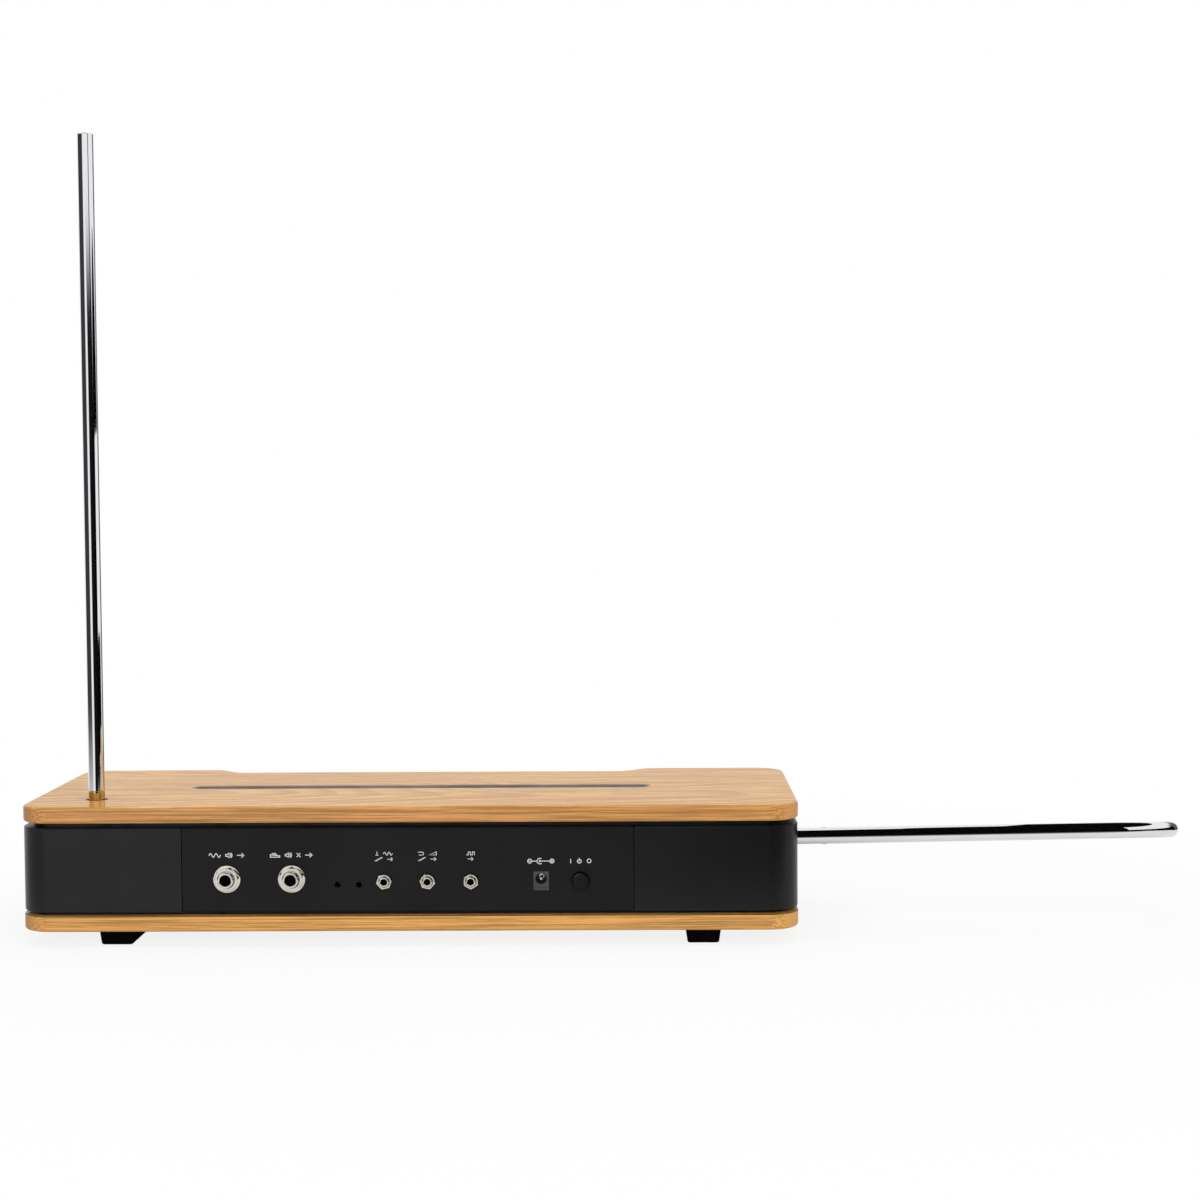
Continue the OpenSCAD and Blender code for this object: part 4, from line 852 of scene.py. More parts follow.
def folded(width, y_face, way):
    """A sheet panel with lips folded back at its top and bottom."""
    t, lip, r = PANEL_T, PANEL_LIP, 1.6
    outer = ([(lip, Z_BODY)] + arc(r, Z_BODY + r, r, 270, 180, 6)
             + arc(r, Z_LID - r, r, 180, 90, 6) + [(lip, Z_LID), (lip, Z_LID - t)])
    inner = (arc(t + 0.4, Z_LID - t - 0.4, 0.4, 90, 180, 3)
             + arc(t + 0.4, Z_BODY + t + 0.4, 0.4, 180, 270, 3) + [(lip, Z_BODY + t)])
    section = outer + inner
    bevel = 0.12
    cuts = ((-width / 2, bevel), (-width / 2 + bevel, 0), (width / 2 - bevel, 0),
            (width / 2, bevel))
    rings = [[(x, y_face + way * y, z) for y, z in shrink(section[::-1], inset)[::-1]]
             for x, inset in cuts]
    return Shape().loft(rings)


def panel_screw_cuts(tool, y):
    """The countersunk holes in a panel's upper and lower lips."""
    for x in (-PANEL_SCREW_X, PANEL_SCREW_X):
        for z, way in ((Z_PLATE, 1), (Z_TOP, -1)):
            profile = [(0, 0), (PANEL_HEAD_R, 0), (PANEL_SHANK_R, PANEL_HEAD_H),
                       (PANEL_SHANK_R, PANEL_SCREW_L), (0, PANEL_SCREW_L)]
            tool.turned([(r, h * way) for r, h in profile], moved(x, y, z), 32)


def punched(r, soft=0.15):
    """The profile of a hole with a broken edge through a panel."""
    return [(0, -PANEL_T - 1), (r, -PANEL_T - 1), (r, -soft), (r + soft, 0), (r + soft, 0.5),
            (0, 0.5)]


class THEREMIN_OT_panels(bpy.types.Operator):
    """Makes the folded rear and front panels"""

    bl_idname = "theremin.panels"
    bl_label = "Panels"

    def execute(self, context):
        tool = Shape()
        for x in LARGE_X:
            tool.turned(punched(LARGE_BUSH_R + 0.15), on_rear(x, Z_LARGE), 48)
        for x in SMALL_X:
            tool.turned(punched(SMALL_BUSH_R + 0.15), on_rear(x, Z_SMALL), 48)
        for x in TRIM_X:
            tool.turned(punched(TRIM_HOLE_R, 0.4), on_rear(x, Z_TRIM), 40)
        tool.turned(punched(BUTTON_R + 0.3, 0.25), on_rear(BUTTON_X, Z_SMALL), 64)
        tool.slab(rounded_box(INLET_W + 0.3, INLET_H + 0.3, 0.3, 4), -PANEL_T - 1, 0.5,
                  place=on_rear(INLET_X, Z_SMALL))
        panel_screw_cuts(tool, Y_REAR + PANEL_SCREW_IN)
        folded(PANEL_W - 2 * SEAM_GAP, Y_REAR, 1).build(
            "rear_sheet_panel", "panel_black", "case", "rear_panel", tool)

        tool = Shape()
        for x in KNOBS.values():
            tool.turned(punched(POT_HOLE_R), on_front(x, Z_KNOB), 48)
        tool.turned(punched(LAMP_R + 0.05, 0.1), on_front(0, Z_KNOB), 40)
        panel_screw_cuts(tool, Y_FRONT - PANEL_SCREW_IN)
        folded(FRONT_W - 2 * SEAM_GAP, Y_FRONT, -1).build(
            "front_sheet_panel", "panel_black", "case", "front_panel", tool)
        return {"FINISHED"}


class THEREMIN_OT_liner(bpy.types.Operator):
    """Makes the lined trough in the top board"""

    bl_idname = "theremin.liner"
    bl_label = "Slot liner"

    def execute(self, context):
        floor, out, rim = Z_CASE - SLOT_DEEP, SLOT_W / 2 - 0.1, Z_CASE - LINER_SINK
        inner, wide, under = SLOT_W / 2 - LINER_T, SLOT_W / 2 + LINER_FLANGE, Z_TOP - LINER_T
        path = [(out - 0.6, floor - LINER_T), (out, floor - LINER_T + 0.6), (out, under),
                (wide - 0.3, under), (wide, under + 0.3), (wide, Z_TOP), (out, Z_TOP),
                (out, rim - 0.3), (out - 0.3, rim), (inner + 0.3, rim), (inner, rim - 0.3)]
        path += [(inner - 1.2 + 1.2 * c, floor + 1.2 - 1.2 * s) for c, s in quarter(5)]
        tool = Shape()
        for i in (-1, 0, 1):
            for s in (-1, 1):
                screw_cut(tool, i * LINER_PITCH, s * (SLOT_W + LINER_FLANGE) / 2, under)
        Shape().loft([[(x, y, z) for x, y in stadium(SLOT_L - SLOT_W, r, 28)]
                      for r, z in path]).build("slot_trough", "liner_black", "case",
                                               "slot_liner", tool)
        return {"FINISHED"}


class THEREMIN_OT_feet(bpy.types.Operator):
    """Makes the rubber feet and the stand flange"""

    bl_idname = "theremin.feet"
    bl_label = "Feet and flange"

    def execute(self, context):
        feet, tool = Shape(), Shape()
        round_low, taper = 1.0, 1.3
        for x, y in FEET:
            rings = []
            for inset, z in [(0.25, 0.0), (0.0, -0.3)] + [
                    (round_low * (1 - c), -FOOT_H + round_low * (1 - s)) for c, s in quarter(6)]:
                w = FOOT_W - 2 * taper * (-z / FOOT_H) - 2 * inset
                rings.append([(px, py, z) for px, py in
                              rounded_box(w, FOOT_L - 2 * inset, 1.4, 6, x, y)])
            feet.loft(rings)
            tool.turned([(0, -FOOT_H - 1), (3.5, -FOOT_H - 1), (3.5, -FOOT_H), (3.1, 0.4 - FOOT_H),
                         (3.1, FOOT_SCREW_Z), (WOOD_HEAD_R, FOOT_SCREW_Z),
                         (WOOD_SHANK_R, FOOT_SCREW_Z + WOOD_HEAD_H), (WOOD_SHANK_R, 1), (0, 1)],
                        moved(x, y), 40)
        feet.build("rubber_feet", "foot_rubber", "case", "feet", tool)

        flange = Shape()
        bore = [(STAND_R, z) for z in heights(0.8, BOSS_H - 0.6, 0.118)]
        profile = [(STAND_R + 0.6, 0.0), *bore, (STAND_R + 0.5, BOSS_H), (BOSS_R - 0.4, BOSS_H),
                   (BOSS_R, BOSS_H - 0.4), (BOSS_R, FLANGE_T + 0.6), (BOSS_R + 0.6, FLANGE_T),
                   (FLANGE_R - 0.4, FLANGE_T), (FLANGE_R, FLANGE_T - 0.4), (FLANGE_R, 0.4),
                   (FLANGE_R - 0.4, 0.0)]
        cut = thread(0.94, -0.45, 0.8, BOSS_H - 0.6)
        flange.turned(profile, count=72, closed=True,
                      shape=lambda t, r, z: cut(t, r, z) if r == STAND_R else r)
        tool = Shape()
        for x, y in FLANGE_SCREWS:
            screw_cut(tool, x, y, 0)
        flange.build("stand_mount_flange", "flange_steel", "case", "stand_flange", tool)
        return {"FINISHED"}


def plug_profile():
    """An antenna's plug: a thin end, a shank, a band with a groove and a spigot in the tube."""
    r, spigot, low, high = TUBE_R, BORE_R - 0.06, -PLUG_L, BAND_H + SPIGOT_L
    return [(0, low), (2, low), (3, low + 1), (3, -14), (r - 0.3, -14), (r, -13.7), (r, 0.5),
            (r - 0.12, 0.62), (r - 0.12, 0.86), (r, 0.98), (r, BAND_H - 0.35),
            (r - 0.3, BAND_H), (spigot, BAND_H), (spigot, high - 0.5), (spigot - 0.5, high),
            (0, high)]


class THEREMIN_OT_antennas(bpy.types.Operator):
    """Makes the pitch antenna and the volume loop"""

    bl_idname = "theremin.antennas"
    bl_label = "Antennas"

    def execute(self, context):
        r = TUBE_R
        profile = ([(0, ROD_L - 1.5), (BORE_R, ROD_L - 1.5), (BORE_R, BAND_H),
                    (r - 0.15, BAND_H), (r, BAND_H + 0.15)]
                   + [(r, z) for z in heights(BAND_H + 1, ROD_L - 2, 48)]
                   + round_profile(r, ROD_L, 0.7) + [(0, ROD_L)])
        Shape().turned(profile, AT_PITCH, 96).build(
            "pitch_antenna_tube", "chrome", "pitch_antenna", "pitch_rod")
        Shape().turned(plug_profile(), AT_PITCH, 96).build(
            "pitch_antenna_plug", "brass", "pitch_antenna", "pitch_plug")
        Shape().tube(self.path(), Vector((1, 0, 0)), r, BORE_R, AT_LOOP, 64).build(
            "volume_antenna_loop", "chrome", "volume_antenna", "volume_loop", sharp=50)
        Shape().turned(plug_profile(), AT_VOLUME, 96).build(
            "volume_antenna_plug", "brass", "volume_stem", "volume_plug")

        out = r + CAP_WALL
        profile = ([(0, 0), (r, 0), (r, CAP_L - 0.2), (r + 0.05, CAP_L), (out - 0.1, CAP_L),
                    (out, CAP_L - 0.2), (out, -0.1)]
                   + [(out - 0.9 + 0.9 * c, -0.1 - 0.9 * s) for c, s in quarter(6, 1)]
                   + [(0, -1.0)])
        tip = AT_LOOP @ moved(0, LOOP_END, LOOP_BACK) @ turned_by(-90, "X")
        Shape().turned(profile, tip, 72).build(
            "loop_tip_cap", "cap_vinyl", "volume_antenna", "loop_end_cap")
        return {"FINISHED"}

    def path(self):
        """Points and directions down the loop's middle, in its own YZ plane."""
        def straight(a, b, steps):
            along = (Vector(b) - Vector(a)).normalized()
            return [(Vector(a).lerp(Vector(b), i / steps), along) for i in range(steps + 1)]

        def bend(y, z, r, start, stop, steps):
            """Goes round (y, z), with angles in degrees from +Y towards +Z."""
            way = 1 if stop > start else -1
            out = []
            for i in range(steps + 1):
                t = math.radians(start + (stop - start) * i / steps)
                out.append((Vector((0, y + r * math.cos(t), z + r * math.sin(t))),
                            Vector((0, -math.sin(t), math.cos(t))) * way))
            return out

        turn, back = LOOP_W / 2, LOOP_BACK + LOOP_BEND
        return (straight((0, 0, LOOP_START), (0, 0, LOOP_TURN), 4)[:-1]
                + bend(turn, LOOP_TURN, turn, 180, 0, 48)
                + straight((0, LOOP_W, LOOP_TURN), (0, LOOP_W, back), 4)[1:-1]
                + bend(LOOP_W - LOOP_BEND, back, LOOP_BEND, 0, -90, 24)
                + straight((0, LOOP_W - LOOP_BEND, LOOP_BACK), (0, LOOP_END, LOOP_BACK), 2)[1:])


def hexagon(flats, low, high):
    """Makes a turned surface a hexagon with its corners chamfered at both faces."""
    def size(turn, r, z):
        if r < flats / 2 - 1e-6:
            return r
        part = (turn + math.pi / 6) % (math.pi / 3) - math.pi / 6
        side = flats / 2 / math.cos(math.pi / 6 - abs(part))
        return min(side, flats / 2 - 0.05 + min(z - low, high - z) * 1.9)
    return size


def nut(shape, at, flats, thick, bore, low=0.0):
    """A hexagon nut with chamfered corners and a countersunk thread."""
    high, r = low + thick, flats / 2
    levels = [0, 0.08, 0.2, 0.35, 0.5]
    rise = [low + v for v in levels] + [high - v for v in reversed(levels)]
    profile = ([(bore + 0.35, low), (bore, low + 0.3), (bore, high - 0.3), (bore + 0.35, high)]
               + [(r, z) for z in reversed(rise)])
    shape.turned(profile, at, 96, hexagon(flats, low, high), closed=True)


def bush(shape, at, r, bore, flange, out, deep):
    """A threaded jack bush with a flange behind the panel and a soft rim."""
    back, rim = -PANEL_T - 1.2, 0.5
    body = [(r, z) for z in heights(-PANEL_T + 0.1, out - 0.75, 0.1)]
    profile = ([(bore, out - 0.55), (bore, back), (flange, back), (flange, -PANEL_T),
                (r - deep, -PANEL_T)] + body
               + [(r - 0.1, out - 0.6), (r - 0.15, out - rim * 0.6), (r - 0.35, out - 0.08),
                  (r - 0.6, out), (bore + 0.45, out), (bore + 0.15, out - 0.12)])
    cut = thread(0.75, deep, -PANEL_T + 0.1, out - 0.7)
    shape.turned(profile, at, 72, lambda t, q, z: cut(t, q, z) if q == r else q, closed=True)


class THEREMIN_OT_jacks(bpy.types.Operator):
    """Makes the bushes, washers and nuts of the five jacks"""

    bl_idname = "theremin.jacks"
    bl_label = "Jacks"

    def execute(self, context):
        deep = context.scene.theremin_controls.thread_depth / MM
        bushes, washers, nuts = Shape(), Shape(), Shape()
        for i, x in enumerate(LARGE_X):
            at = on_rear(x, Z_LARGE)
            bush(bushes, at, LARGE_BUSH_R, LARGE_BORE_R, LARGE_FLANGE_R, LARGE_OUT, deep)
            bore, r, t = WASHER_BORE_R, WASHER_R, WASHER_T
            washers.turned([(bore, 0), (r - 0.3, 0), (r, 0.25), (r, t - 0.3), (r - 0.1, t - 0.1),
                            (r - 0.35, t), (bore + 0.25, t), (bore, t - 0.2)], at, 96,
                           closed=True)
            nut(nuts, at @ turned_by(10 + 17 * i, "Z"), LARGE_NUT_W, LARGE_NUT_T,
                LARGE_BUSH_R + NUT_PLAY, WASHER_T)
        small_bushes, small_nuts = Shape(), Shape()
        for x, turn in zip(SMALL_X, SMALL_TURN):
            at = on_rear(x, Z_SMALL)
            bush(small_bushes, at, SMALL_BUSH_R, SMALL_BORE_R, SMALL_FLANGE_R, SMALL_OUT,
                 deep * 0.7)
            nut(small_nuts, at @ turned_by(turn, "Z"), SMALL_NUT_W, SMALL_NUT_T,
                SMALL_BUSH_R + NUT_PLAY)
        for shape, name, sharp, node in (
                (bushes, "quarter_inch_bushes", 32, "large_jack_bushes"),
                (washers, "quarter_inch_washers", 32, "large_jack_washers"),
                (nuts, "quarter_inch_nuts", 20, "large_jack_nuts"),
                (small_bushes, "small_bushes", 32, "small_jack_bushes"),
                (small_nuts, "small_nuts", 20, "small_jack_nuts")):
            dress(shape.piece(name, sharp), "nickel", "case", node)
        return {"FINISHED"}


class THEREMIN_OT_power(bpy.types.Operator):
    """Makes the power inlet and the power button"""

    bl_idname = "theremin.power"
    bl_label = "Power inlet and button"

    def execute(self, context):
        at = on_rear(INLET_X, Z_SMALL)
        up = at @ moved(0, INLET_UP)
        bore, wide = PIN_R + 0.6, INLET_BORE_R
        tool = Shape().turned([(0, -11), (bore, -11), (bore, -9), (wide, -9), (wide, 0.1),
                               (wide + 0.3, 0.5), (wide + 0.3, 1), (0, 1)], up, 64)
        groove = Shape().slab(rounded_box(6.6, 0.5, 0.2, 3, 0, -3.7), 0.25, 1.0, place=at)
        Shape().slab(rounded_box(INLET_W, INLET_H, 0.35, 4), -14.0, 0.5, 0.2, 0.3, at).build(
            "power_inlet_block", "inlet_grey", "case", "power_inlet", tool, groove)
        profile = [(0, -11), (bore, -11), (bore, -9.2), (1.45, -9), (PIN_R, -9), (PIN_R, -1.4),
                   (0.98, -1.1), (0.8, -0.85), (0.5, -0.72), (0, -0.7)]
        Shape().turned(profile, up, 40).build(
            "power_inlet_pin_rod", "nickel", "case", "inlet_pin")
        r = BUTTON_R
        profile = ([(0, -9.3), (1.5, -9.3), (1.5, -3.3), (r + 1, -3.3), (r + 1, -2.3), (r, -2.3)]
                   + [(r, z) for z in (-1.0, 1.0, 2.6)] + round_profile(r, 3.75, 1.1, 7)
                   + [(3.0, 3.93), (2.2, 4.06), (1.2, 4.16), (0, 4.2)])
        Shape().turned(profile, on_rear(BUTTON_X, Z_SMALL), 96).build(
            "power_push_button", "button_black", "power_switch_button", "power_button")
        return {"FINISHED"}


class THEREMIN_OT_knobs(bpy.types.Operator):
    """Makes the four fluted knobs and the lamp"""

    bl_idname = "theremin.knobs"
    bl_label = "Knobs and lamp"

    def execute(self, context):
        count = context.scene.theremin_controls.flutes
        deep = context.scene.theremin_controls.flute_depth / MM

        def fluted(turn, r, z):
            low, high = 3.3, 12.2
            if not low < z < high or r < 8.5:
                return r
            share = min(1.0, (z - low) / 0.8, (high - z) / 0.8)
            return r - deep * share * (1 - abs(math.sin(turn * count / 2))) ** 0.8

        r, h, shaft = SKIRT_R, KNOB_H, SHAFT_HOLE_R
        grip = [(GRIP_R - (z - 3.3) / 9.0, z) for z in heights(3.4, 12.1, 0.4)]
        profile = ([(0, 11.1), (shaft, 11.1), (shaft, 4.6), (6.6, 4.6), (6.6, 0), (r - 0.3, 0),
                    (r, 0.3), (r, 2.2), (r - 0.15, 2.6), (r - 0.5, 2.8), (r - 1.1, 3.0)] + grip
                   + [(8.9, h - 0.55), (8.7, h - 0.25), (8.35, h - 0.05), (8.0, h),
                      (7.7, h - 0.07), (7.5, h - 0.25), (7.2, h - 0.3), (0, h - 0.3)])
        for name, x in KNOBS.items():
            at = on_front(x, Z_KNOB) @ moved(0, 0, KNOB_GAP)
            Shape().turned(profile, at, count * 8, fluted).build(
                name + "_fluted_knob", "knob_black", name + "_control", name + "_knob", sharp=38)
            line = Shape()
            line.slab(rounded_box(1.2, 5.4, 0.3, 4, 0, 4.6), 12.5, 12.86, 0, 0.08, at)
            line.slab(rounded_box(0.9, 1.0, 0.15, 3, 0, 10.75), 2.5, 3.0, 0, 0.05, at)
            dress(line.piece(name + "_knob_pointer"), "knob_black", name + "_control",
                  material="ink")
        profile = [(0, -9), (LAMP_R, -9), (LAMP_R, 0.2)] + [
            (LAMP_R * c, 0.2 + LAMP_R * s) for c, s in quarter(8, 1)]
        dress(Shape().turned(profile, on_front(0, Z_KNOB), 48).piece("round_lamp"), "lamp_red",
              "case", "indicator_lamp")
        return {"FINISHED"}


# ---- printed marks

def ribbon(shape, points, width, at, closed=False, thick=0.05):
    """A flat printed line through points, in the plane of at."""
    count, half, sides = len(points), width / 2, ([], [])
    for i, (x, y) in enumerate(points):
        before = points[i - 1] if i or closed else None
        after = points[(i + 1) % count] if i < count - 1 or closed else None
        a = Vector((x - before[0], y - before[1])).normalized() if before else None
        b = Vector((after[0] - x, after[1] - y)).normalized() if after else None
        a, b = a or b, b or a
        n = Vector((-a.y - b.y, a.x + b.x))
        n *= half / max(0.5, 1 + a.dot(b))
        ends = a * (half if not before or not after else 0) * (-1 if not before else 1)
        sides[0].append((x + n.x + ends.x, y + n.y + ends.y))
        sides[1].append((x - n.x + ends.x, y - n.y + ends.y))
    rings = [[(*left, 0.0), (*left, thick), (*right, thick), (*right, 0.0)]
             for left, right in zip(*sides)]
    shape.loft(rings, at, closed)


def circle(cx, cy, r):
    """A closed line round (cx, cy)."""
    return arc(cx, cy, r, 0, 360, 20)[:-1] + ["closed"]


# Each sign is its width and its lines, in units of its height. A closed line ends with "closed".
SIGNS = {
    "wave": (2.6, [[(0.1 + 2.4 * i / 24, 0.5 + 0.42 * math.sin(2 * math.pi * i / 12))
                    for i in range(25)]]),
    "arrow": (1.7, [[(0.1, 0.5), (1.5, 0.5)], [(1.05, 0.9), (1.55, 0.5), (1.05, 0.1)]]),
    "speaker": (1.5, [[(0.1, 0.32), (0.1, 0.68), (0.4, 0.68), (0.78, 0.98), (0.78, 0.02),
                       (0.4, 0.32), "closed"],
                      arc(0.78, 0.5, 0.38, -50, 50, 6), arc(0.78, 0.5, 0.66, -45, 45, 8)]),
    "cross": (0.9, [[(0.15, 0.15), (0.8, 0.85)], [(0.15, 0.85), (0.8, 0.15)]]),
    "pedal": (2.2, [[(0.1, 0.08), (2.1, 0.08), (2.1, 0.34), (0.1, 0.62), "closed"],
                    [(0.5, 0.9), (0.95, 0.68)], [(0.98, 0.95), (1.42, 0.6)]]),
    "rod": (0.9, [[(0.45, 0.1), (0.45, 1.0)], [(0.12, 0.1), (0.78, 0.1)]]),
    "loop": (1.7, [arc(1.15, 0.5, 0.4, -90, 90, 10) + [(0.15, 0.9)], [(0.35, 0.1), (1.15, 0.1)]]),
    "pulse": (2.4, [[(0.1, 0.1), (0.55, 0.1), (0.55, 0.9), (1.1, 0.9), (1.1, 0.1), (1.65, 0.1),
                     (1.65, 0.9), (2.2, 0.9), (2.2, 0.1)]]),
    "steps": (2.2, [[(0.1, 0.1), (0.6, 0.1), (0.6, 0.36), (1.1, 0.36), (1.1, 0.64), (1.6, 0.64),
                     (1.6, 0.92), (2.1, 0.92)]]),
    "ramp": (2.2, [[(0.1, 0.12), (2.1, 0.12), (2.1, 0.95), "closed"]]),
    "polarity": (6.0, [circle(0.5, 0.5, 0.44), [(0.27, 0.5), (0.73, 0.5)],
                       [(1.05, 0.5), (2.1, 0.5)], arc(2.75, 0.5, 0.62, 60, 300, 14),
                       circle(2.75, 0.5, 0.16), [(3.0, 0.5), (4.85, 0.5)],
                       circle(5.4, 0.5, 0.44), [(5.17, 0.5), (5.63, 0.5)],
                       [(5.4, 0.27), (5.4, 0.73)]]),
    "power": (1.2, [arc(0.6, 0.45, 0.42, 125, 415, 18), [(0.6, 0.5), (0.6, 1.05)]]),
    "bar": (0.6, [[(0.3, 0.08), (0.3, 0.92)]]),
    "ring": (1.1, [circle(0.55, 0.5, 0.42)]),
    "sun": (1.4, [circle(0.7, 0.5, 0.2)] + [
        [(0.7 + a * math.cos(t), 0.5 + a * math.sin(t)) for a in (0.36, 0.56)]
        for t in (math.pi / 4 * i for i in range(8))]),
}


def signs(shape, names, at, height, gap=2.6):
    """A row of signs, centred, whose names stand in one text."""
    names = names.split()
    x = -(sum(SIGNS[n][0] for n in names) * height + gap * (len(names) - 1)) / 2
    line = min(bpy.context.scene.theremin_controls.line_width / MM, height * 0.17)
    for name in names:
        for points in SIGNS[name][1]:
            closed = points[-1] == "closed"
            row = points[:-1] if closed else points
            ribbon(shape, [(x + px * height, (py - 0.5) * height) for px, py in row], line, at,
                   closed)
        x += SIGNS[name][0] * height + gap


def numeral(shape, text, at, size):
    """Raised printed digits."""
    half = 0.025
    curve = bpy.data.curves.new("digits", "FONT")
    curve.body, curve.size, curve.extrude = text, size, half
    curve.align_x, curve.align_y, curve.resolution_u = "CENTER", "CENTER", 3
    made = bpy.data.objects.new("digits", curve)
    bpy.context.scene.collection.objects.link(made)
    bpy.context.view_layer.update()
    mesh = bpy.data.meshes.new_from_object(
        made.evaluated_get(bpy.context.evaluated_depsgraph_get()))
    shape.add([v.co + Vector((0, 0, half)) for v in mesh.vertices],
              [list(p.vertices) for p in mesh.polygons], at)
    bpy.data.objects.remove(made)
    bpy.data.curves.remove(curve)
    bpy.data.meshes.remove(mesh)


class THEREMIN_OT_marks(bpy.types.Operator):
    """Prints plain signs over the jacks and scales round the knobs"""

    bl_idname = "theremin.marks"
    bl_label = "Printed marks"

    def execute(self, context):
        rear = Shape()
        for names, x in zip(("wave speaker arrow", "pedal speaker cross arrow"), LARGE_X):
            signs(rear, names, on_rear(x, SIGN_Z), SIGN_H)
        for x, *rows in zip(SMALL_X, ("rod wave", "loop ramp", "pulse"),
                            ("steps arrow", "steps arrow", "arrow")):
            for names, z in zip(rows, SMALL_SIGN_Z):
                signs(rear, names, on_rear(x, z), SMALL_SIGN_H)
        signs(rear, "polarity", on_rear(INLET_X, POWER_SIGN_Z), POWER_SIGN_H)
        signs(rear, "bar power ring", on_rear(BUTTON_X, POWER_SIGN_Z), POWER_SIGN_H)
        dress(rear.piece("rear_printed_signs"), "panel_black", "case", material="ink")

        front = Shape()
        heads = {"brightness": "sun", "waveform": "wave pulse", "pitch": "rod wave",
                 "volume": "speaker ramp"}
        for name, x in KNOBS.items():
            at = on_front(x, Z_KNOB)
            for i in range(11):
                turn = math.radians(240 - 30 * i)
                c, s = math.cos(turn), math.sin(turn)
                out = LONG_TICK_OUT if i % 5 == 0 else TICK_OUT
                ribbon(front, [(TICK_IN * c, TICK_IN * s), (out * c, out * s)], TICK_W, at)
                numeral(front, str(i), at @ moved(NUMERAL_R * c, NUMERAL_R * s), NUMERAL_H)
            signs(front, heads[name], on_front(x, Z_KNOB + HEAD_SIGN_UP), HEAD_SIGN_H, 1.5)
        dress(front.piece("front_printed_scales"), "panel_black", "case", material="ink")
        return {"FINISHED"}


class THEREMIN_OT_inside(bpy.types.Operator):
    """Gives every solid that still shows its own finish"""

    bl_idname = "theremin.inside"
    bl_label = "Other parts"

    def execute(self, context):
        slots = {row["node"]: row["material_slot"] for row in frame["record"]["subparts"]}
        for name, node in frame["nodes"].items():
            if node.hide_render:
                continue
            material = finish_of(slots[name])
            for place in node.material_slots:
                place.material = material
            if not node.material_slots:
                node.data.materials.append(material)
        return {"FINISHED"}


# ---- the studio, in metres from here but for the floor and the card

CAMERA_AT, CAMERA_TURN = (0.1340, -1.3802, 0.2553), (-0.01737, 0.05048, -0.00675)


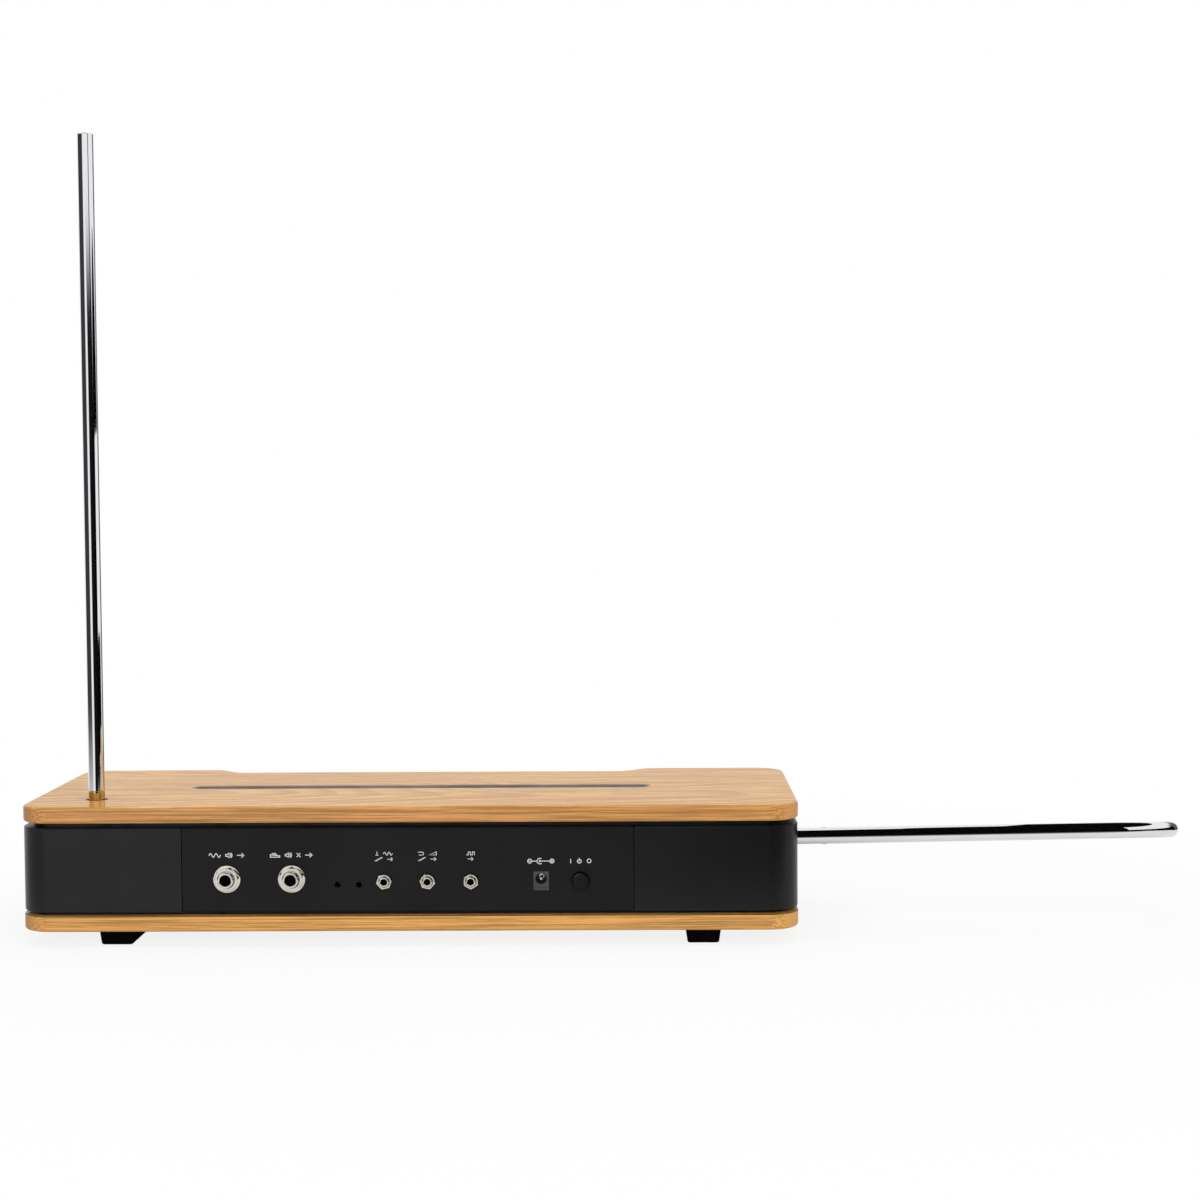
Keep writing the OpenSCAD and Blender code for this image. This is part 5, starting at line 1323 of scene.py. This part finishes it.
class THEREMIN_OT_stage(bpy.types.Operator):
    """Makes the floor, the lamps, the room and the camera"""

    bl_idname = "theremin.stage"
    bl_label = "Stage"

    def execute(self, context):
        studio = context.scene.theremin_studio
        self.floor(studio)
        self.card()
        self.room(context.scene, studio)
        self.lamp("top_lamp", studio.key_power, (0.1, -0.15, 1.9), (0.1, 0.0, 0.0), 1.9)
        self.lamp("front_lamp", studio.fill_power, (0.6, -1.9, 1.1), (0.05, 0.0, 0.1), 1.1)
        self.camera(context.scene, studio)
        context.scene.view_settings.view_transform = "Standard"
        return {"FINISHED"}

    def floor(self, studio):
        """A round white floor. It fades into the white room where the camera sees it, and
        shiny surfaces see a dark patch in front of its right half."""
        middle = 110.0
        plan = arc(middle, 0, 620, 0, 360, 96)[:-1]
        made = Shape().slab(plan, -FOOT_H - 5, -FOOT_H).piece("floor")
        f = Finish("floor_white", {"Roughness": 0.9, "Specular IOR Level": 0.1})
        p = f.place()
        white = f.node("ShaderNodeEmission", values={"Color": (1, 1, 1), "Strength": 1.0})
        x, y, _ = f.split(p)
        out = ((x - middle) * (x - middle) + y * y).root()
        camera, clear, glossy = f.rays()
        flag = glossy * f.smooth(x, -20.0, 210.0) * f.smooth(-1.0 * y, 170.0, 250.0) * 0.85
        cloth = f.mix(f.noise(p, scale=0.01), (0.88, 0.88, 0.88), (0.86, 0.86, 0.86))
        f.set(Base_Color=f.mix(flag, cloth, (0.01, 0.01, 0.01)))
        fade = studio.floor_lift + f.smooth(out, 330.0, 590.0) * (1.0 - studio.floor_lift)
        f.show(f.node("ShaderNodeMixShader",
                      values=((camera + clear) * fade, f.shader, white)))
        made.data.materials.append(f.material)

    def card(self):
        """A black card round the loop, with a window. Only shiny surfaces see it."""
        middle, r, steps = Vector((400, -20, 50)), 420, 12

        def at(turn, rise):
            t, e = math.radians(turn), math.radians(rise)
            return middle + r * Vector((math.cos(e) * math.sin(t), -math.cos(e) * math.cos(t),
                                        math.sin(e)))

        shape, wide = Shape(), steps + 1
        for turns, rises in (((-28, 40), (-8, 35)), ((-75, 40), (35, 100)),
                             ((40, 130), (-8, 8)), ((40, 175), (38, 100))):
            points = [at(turns[0] + (turns[1] - turns[0]) * j / steps,
                         rises[0] + (rises[1] - rises[0]) * i / steps)
                      for i in range(wide) for j in range(wide)]
            shape.add(points, [[i * wide + j, i * wide + j + 1, (i + 1) * wide + j + 1,
                                (i + 1) * wide + j] for i in range(steps) for j in range(steps)])
        shape.slab(rounded_box(105, 4, 1, 3), 60, 900,
                   place=moved(270, -455) @ Matrix.Rotation(0.7, 4, "Z"))
        made = shape.piece("black_card")
        f = Finish("card_black", {"Roughness": 0.9, "Specular IOR Level": 0.0})
        f.set(Base_Color=f.mix(f.noise(f.place(), scale=0.02), (0.004, 0.004, 0.004),
                               (0.002, 0.002, 0.002)))
        made.data.materials.append(f.material)
        made.visible_camera = made.visible_diffuse = made.visible_shadow = False
        made.visible_transmission = False

    def room(self, scene, studio):
        """White to the camera, even light on the object, and dark sides that metal shows."""
        world = bpy.data.worlds.new("room")
        scene.world = world
        b = Board(world, "ShaderNodeOutputWorld")
        x, y, z = b.split(b.node("ShaderNodeTexCoord", out=0))
        around = b.node("ShaderNodeMath", {"operation": "ARCTAN2"}, (x, y * -1.0))

        def between(value, *edges):
            return b.smooth(value, *edges[:2]) * (1.0 - b.smooth(value, *edges[2:]))

        front = between(around, -0.10, -0.02, 1.02, 1.2) * (1.0 - b.smooth(z, 0.07, 0.13))
        left = between(around, -1.98, -1.88, -0.60, -0.50) * between(z, -0.16, -0.09, 0.3, 0.4)
        right = between(around, 2.1, 2.25, 2.7, 2.85) * (1.0 - b.smooth(z, 0.2, 0.35))
        above = b.smooth(z, 0.45, 0.6) * (1.0 - b.smooth(abs(around), 0.45, 0.7))
        shown = b.mix(front, (1.0, 1.0, 1.0), (0.006, 0.006, 0.006))
        shown = b.mix(left, shown, (0.05, 0.042, 0.05))
        shown = b.mix(right, shown, (0.12, 0.12, 0.12))
        shown = b.mix(above, shown, (0.02, 0.02, 0.02))
        camera, clear, glossy = b.rays()
        even_light = (studio.sky, studio.sky, studio.sky * 1.01)
        colour = b.mix(glossy, even_light, shown)
        colour = b.mix(clear, colour, (0.9, 0.9, 0.9))
        colour = b.mix(camera, colour, (1.0, 1.0, 1.0))
        b.show(b.node("ShaderNodeBackground", values={"Color": colour, "Strength": 1.0}))

    def lamp(self, name, power, place, target, size):
        """A square soft lamp that looks at a point and doesn't show in shiny surfaces."""
        data = bpy.data.lights.new(name, "AREA")
        data.energy, data.shape, data.size = power, "SQUARE", size
        made = bpy.data.objects.new(name, data)
        way = Vector(target) - Vector(place)
        made.matrix_world = moved(*place) @ way.to_track_quat("-Z", "Y").to_matrix().to_4x4()
        made.visible_glossy = False
        bpy.context.scene.collection.objects.link(made)

    def camera(self, scene, studio):
        """The camera of the photo's view, as fitted to the edges of both boards."""
        yaw, pitch, roll = CAMERA_TURN
        ahead = Vector((math.sin(yaw) * math.cos(pitch), math.cos(yaw) * math.cos(pitch),
                        -math.sin(pitch)))
        right = Vector((math.cos(yaw), -math.sin(yaw), 0))
        up = right.cross(ahead)
        side = right * math.cos(roll) + up * math.sin(roll)
        top = up * math.cos(roll) - right * math.sin(roll)
        turn = Matrix((side, top, -ahead)).transposed().to_4x4()
        data = bpy.data.cameras.new("camera")
        data.lens, data.sensor_width, data.clip_end = studio.lens, 36.0, 50.0
        made = bpy.data.objects.new("camera", data)
        made.matrix_world = moved(*CAMERA_AT) @ turn
        scene.collection.objects.link(made)
        scene.camera = made


MAKERS = (THEREMIN_OT_boards, THEREMIN_OT_shells, THEREMIN_OT_panels, THEREMIN_OT_liner,
          THEREMIN_OT_feet, THEREMIN_OT_antennas, THEREMIN_OT_jacks, THEREMIN_OT_power,
          THEREMIN_OT_knobs, THEREMIN_OT_marks, THEREMIN_OT_inside, THEREMIN_OT_stage)


class THEREMIN_PT_looks(bpy.types.Panel):
    """Lists the theremin's makers and settings"""

    bl_idname = "THEREMIN_PT_looks"
    bl_label = "Theremin"
    bl_space_type = "VIEW_3D"
    bl_region_type = "UI"
    bl_category = "Theremin"

    def draw(self, context):
        for group in (context.scene.theremin_case, context.scene.theremin_controls,
                      context.scene.theremin_studio):
            box = self.layout.box()
            for name in group.bl_rna.properties.keys():
                if name not in ("rna_type", "name"):
                    box.prop(group, name)
        for maker in MAKERS:
            self.layout.operator(maker.bl_idname)


GROUPS = {"theremin_case": CaseSettings, "theremin_controls": ControlSettings,
          "theremin_studio": StudioSettings}


def register():
    for name, group in GROUPS.items():
        bpy.utils.register_class(group)
        setattr(bpy.types.Scene, name, PointerProperty(type=group))
    for maker in MAKERS:
        bpy.utils.register_class(maker)
    bpy.utils.register_class(THEREMIN_PT_looks)


def unregister():
    bpy.utils.unregister_class(THEREMIN_PT_looks)
    for maker in reversed(MAKERS):
        bpy.utils.unregister_class(maker)
    for name, group in GROUPS.items():
        delattr(bpy.types.Scene, name)
        bpy.utils.unregister_class(group)


def main():
    register()
    for maker in MAKERS:
        call = getattr(bpy.ops.theremin, maker.bl_idname.split(".")[1])
        if call() != {"FINISHED"}:
            raise RuntimeError(maker.bl_label + " didn't finish")


if __name__ == "__main__":
    main()
